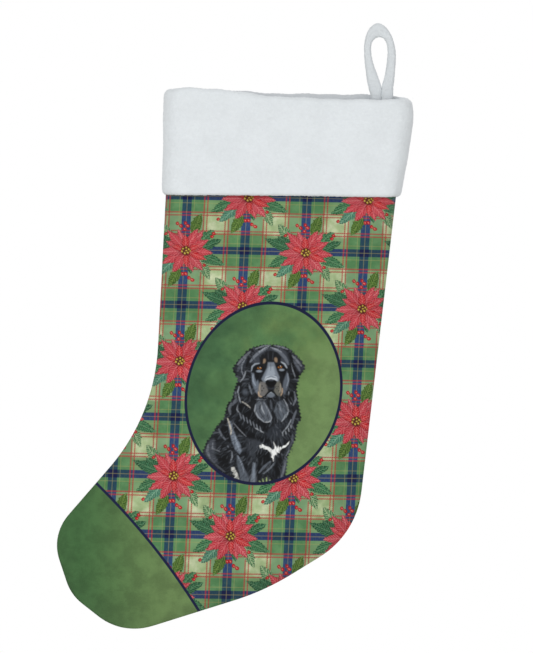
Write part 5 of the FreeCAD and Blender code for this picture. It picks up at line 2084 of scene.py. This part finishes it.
class PortraitPainter:
    """Paints a sitting long-haired black dog inside the oval, as a colour for each point of the cloth.

    BODY is the dog's outline and FACE the short-haired oval of its face (centre and half sizes), both
    about the oval's centre. COAT is the colour under all the strokes.
    """

    BODY = [
        (-14.8, 35.8), (-10.1, 38.9), (-0.6, 41.3), (10.4, 41.3), (19.0, 39.7), (23.7, 36.5), (27.7, 32.6),
        (31.6, 28.7), (35.4, 22.4), (34.0, 18.5), (30.8, 15.3), (29.6, 10.6), (28.1, 4.3), (29.2, -5.1),
        (30.8, -14.6), (32.0, -21.7), (28.5, -27.2), (27.7, -33.4), (26.9, -39.7), (23.7, -46.0),
        (20.6, -53.9), (19.8, -61.0), (19.0, -68.1), (16.7, -82.0), (-38.4, -82.0), (-49.4, -64.9),
        (-51.8, -49.2), (-48.6, -41.3), (-43.9, -35.0), (-40.7, -28.7), (-33.7, -20.9), (-31.3, -9.9),
        (-26.6, -4.3), (-25.0, 2.7), (-21.9, 11.4), (-24.2, 15.3), (-26.6, 20.8), (-24.2, 24.8),
        (-20.3, 29.5), (-16.4, 33.4),
    ]
    FACE = (6.4, 16.0, 15.5, 17.0)
    COAT = "17191d"
    UNDERCOAT = Hairs(900, 1.3, (0.9, 1.6), 0.55)
    TOPCOAT = Hairs(1500, 1.0, (0.45, 0.8), 0.42)
    REGION = ((-52.0, -76.0), (34.0, 41.0))

    def __init__(self) -> None:
        """Places the painter at the oval's centre."""
        self.frame = Portrait()
        self.rng = np.random.default_rng(23)

    def local(self, spots: np.ndarray) -> np.ndarray:
        """Flat points about the oval's centre."""
        return spots - np.array(self.frame.centre)

    def covers(self, spots: np.ndarray) -> np.ndarray:
        """Which flat points the painted dog reaches.

        Args:
            spots: flat points in millimetres.

        Returns:
            True where paint may go.
        """
        at = self.local(spots)
        across = (at[:, 0] - self.frame.lean * at[:, 1]) / self.frame.half[0]
        inside = across ** 2 + (at[:, 1] / self.frame.half[1]) ** 2 < 1.04
        return inside & (filled(self.BODY, at, 3.5) > 0.02)

    def hairs(self, kind: Hairs) -> list[Stroke]:
        """Draws fine hairs over the coat, lying the way it grows: out from the face, then down the body.

        Args:
            kind: which hairs.

        Returns:
            The hairs as strokes.
        """
        made = []
        face_x, face_y, half_x, half_y = self.FACE
        for x, y in self.rng.uniform(*np.array(self.REGION), (kind.count, 2)):
            if math.hypot((x - face_x) / half_x, (y - face_y) / half_y) < 1.0:
                continue
            down = -math.pi / 2.0 + 0.028 * (x - face_x)
            out = math.atan2(y - face_y, x - face_x)
            angle = down if y < kind.ruff else out
            angle += float(self.rng.normal(0.0, 0.28))
            half = 0.5 * float(self.rng.uniform(2.5, 6.5)) * kind.stretch
            curl = angle + float(self.rng.normal(0.0, 0.35))
            middle = (x + half * math.cos(angle), y + half * math.sin(angle))
            end = (middle[0] + half * math.cos(curl), middle[1] + half * math.sin(curl))
            shade = str(self.rng.choice(list(kind.SHADES), p=list(kind.SHADES.values())))
            width = float(self.rng.uniform(*kind.width))
            made.append(Stroke(shade, width, [(x, y), middle, end], kind.strength))
        return made

    def paint(self, piece: Object) -> None:
        """Stores the picture as a colour for each point, with its cover as alpha.

        Args:
            piece: the front panel.
        """
        at = self.local(places(piece.data)[:, [0, 2]] / MM)
        near = np.nonzero(filled(self.BODY, at, 4.0) > 0.0)[0]
        spots = at[near]
        picture = np.tile(tone(self.COAT)[:3], (len(near), 1))
        layers = self.hairs(self.UNDERCOAT) + LAYERS + self.hairs(self.TOPCOAT)
        for layer in layers:
            pick = np.arange(len(spots))
            if isinstance(layer, Stroke):
                line = np.array(layer.points)
                room = layer.width + 0.8
                box = np.all((spots > line.min(0) - room) & (spots < line.max(0) + room), axis=1)
                pick = pick[box]
            if len(pick) == 0:
                continue
            cover = layer.cover(spots[pick])[:, None]
            picture[pick] = picture[pick] * (1.0 - cover) + np.array(tone(layer.shade)[:3]) * cover
        ragged = spots + 0.55 * np.column_stack([
            np.sin(spots[:, 1] * 2.1 + spots[:, 0] * 0.7), np.sin(spots[:, 0] * 2.3 - spots[:, 1] * 0.5),
        ])
        colour = np.zeros((len(at), 4), np.float32)
        colour[:, :3] = tone(self.COAT)[:3]
        colour[near, :3] = picture
        colour[near, 3] = filled(self.BODY, ragged, 0.55)
        attribute = piece.data.color_attributes.new("portrait", "FLOAT_COLOR", "POINT")
        attribute.data.foreach_set("color", colour.ravel())
        LOG.info("portrait: %d layers over %d points", len(layers), len(near))


@dataclass
class Stitching:
    """The CAD model's own threads, which keep their shape and get a twisted finish."""

    print_threads: tuple[str, ...] = ("side_seam_thread",)
    plush_threads: tuple[str, ...] = (
        "lining_seam_thread", "cuff_side_seam_thread", "mouth_seam_thread", "cuff_hem_thread",
        "facing_thread", "loop_bar_tack", "loop_seam_thread",
    )

    def dress(self, nodes: dict, finishes: dict[str, Material]) -> None:
        """Gives each thread its finish.

        Args:
            nodes: the CAD objects by name.
            finishes: materials by name.
        """
        for names, finish in ((self.print_threads, "print thread"), (self.plush_threads, "plush thread")):
            for name in names:
                for slot in nodes[name].material_slots:
                    slot.material = finishes[finish]
                LOG.info("%s: twisted thread", name)


@dataclass
class Studio:
    """Camera, soft lights, pale floor and white surroundings."""

    aim: tuple[float, float, float] = (-0.0966, -5.0, -0.2455)
    lens: float = 323.9
    floor_level: float = -0.64
    floor_half: float = 1.2
    surround: float = 0.5

    def build(self) -> None:
        """Sets everything up."""
        scene = bpy.context.scene
        scene.view_settings.view_transform = "Standard"
        data = bpy.data.cameras.new("camera")
        data.lens = self.lens
        camera = bpy.data.objects.new("camera", data)
        camera.location = self.aim
        camera.rotation_euler = (math.radians(90.0), 0.0, 0.0)
        data.clip_end = 50.0
        scene.collection.objects.link(camera)
        scene.camera = camera
        self.light("key", (-1.3, -2.2, 0.9), 1.6, 27.5)
        self.light("fill", (1.6, -2.0, 0.1), 1.8, 13.0)
        self.light("rear", (0.3, 1.8, 1.3), 1.4, 13.0)
        self.world(scene)
        self.floor()
        LOG.info("studio: camera, three lights, floor")

    def light(self, name: str, place: tuple[float, float, float], size: float, power: float) -> None:
        """Adds one soft square light aimed at the stocking.

        Args:
            name: the light's name.
            place: where it stands, in metres.
            size: its side.
            power: its strength in watts.
        """
        data = bpy.data.lights.new(name, "AREA")
        data.size = size
        data.energy = power
        lamp = bpy.data.objects.new(name, data)
        lamp.location = place
        target = Vector((-0.1, 0.0, -0.25))
        lamp.rotation_euler = (target - Vector(place)).to_track_quat("-Z", "Y").to_euler()
        bpy.context.scene.collection.objects.link(lamp)

    def world(self, scene: bpy.types.Scene) -> None:
        """Makes the surroundings white to the camera and softer as a light.

        Args:
            scene: the scene.
        """
        world = bpy.data.worlds.new("surround")
        world.use_nodes = True
        world.node_tree.nodes.clear()
        g = Graph(world.node_tree)
        seen = g.add("ShaderNodeLightPath").outputs["Is Camera Ray"]
        soft = g.add("ShaderNodeBackground", {"Color": (1.0, 1.0, 1.0, 1.0), "Strength": self.surround})
        clear = g.add("ShaderNodeBackground", {"Color": (1.0, 1.0, 1.0, 1.0), "Strength": 1.0})
        both = g.add("ShaderNodeMixShader", {0: seen, 1: soft.outputs[0], 2: clear.outputs[0]})
        g.add("ShaderNodeOutputWorld", {"Surface": both.outputs[0]})
        scene.world = world

    def floor(self) -> None:
        """Lays the pale floor below the stocking."""
        bm = bmesh.new()
        bmesh.ops.create_grid(bm, x_segments=4, y_segments=4, size=self.floor_half)
        bmesh.ops.translate(bm, verts=bm.verts[:], vec=(-0.1, 0.0, self.floor_level))
        floor = new_piece("floor", bm, PaleFloor().make("pale floor"))


def clear_scene() -> None:
    """Empties the start-up scene."""
    for item in list(bpy.data.objects):
        bpy.data.objects.remove(item)


def main() -> None:
    """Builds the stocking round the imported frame."""
    logging.basicConfig(level=logging.INFO, format="%(name)s: %(message)s")
    clear_scene()
    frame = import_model()
    effects = Effects()
    finishes = {
        "front print": PrintedCloth(portrait=True).make(effects, "printed cloth with picture"),
        "back print": PrintedCloth(portrait=False).make(effects, "printed cloth"),
        "lining": LiningCloth().make(effects, "lining cloth"),
        # the facing colour is painted shade on the plush inside the mouth
        "plush": Plush(facing="ccd0d4").make(effects, "white plush"),
        # the loop's plush is painted darker than the cuff's, as painted shade
        "shaded loop plush": Plush(colour="dce1e4").make(effects, "white plush of the loop with painted shade"),
        "print thread": Thread("3f5a3c").make(effects, "green thread"),
        "plush thread": Thread("eceff0").make(effects, "white thread"),
    }
    Studio().build()
    shape = StockingShape()
    Bag(shape).build(finishes, PortraitPainter())
    Lining(shape).build(finishes["lining"])
    Cuff().build(finishes["plush"])
    HangingLoop().build(finishes["shaded loop plush"])
    Stitching().dress(frame["nodes"], finishes)


if __name__ == "__main__":
    main()
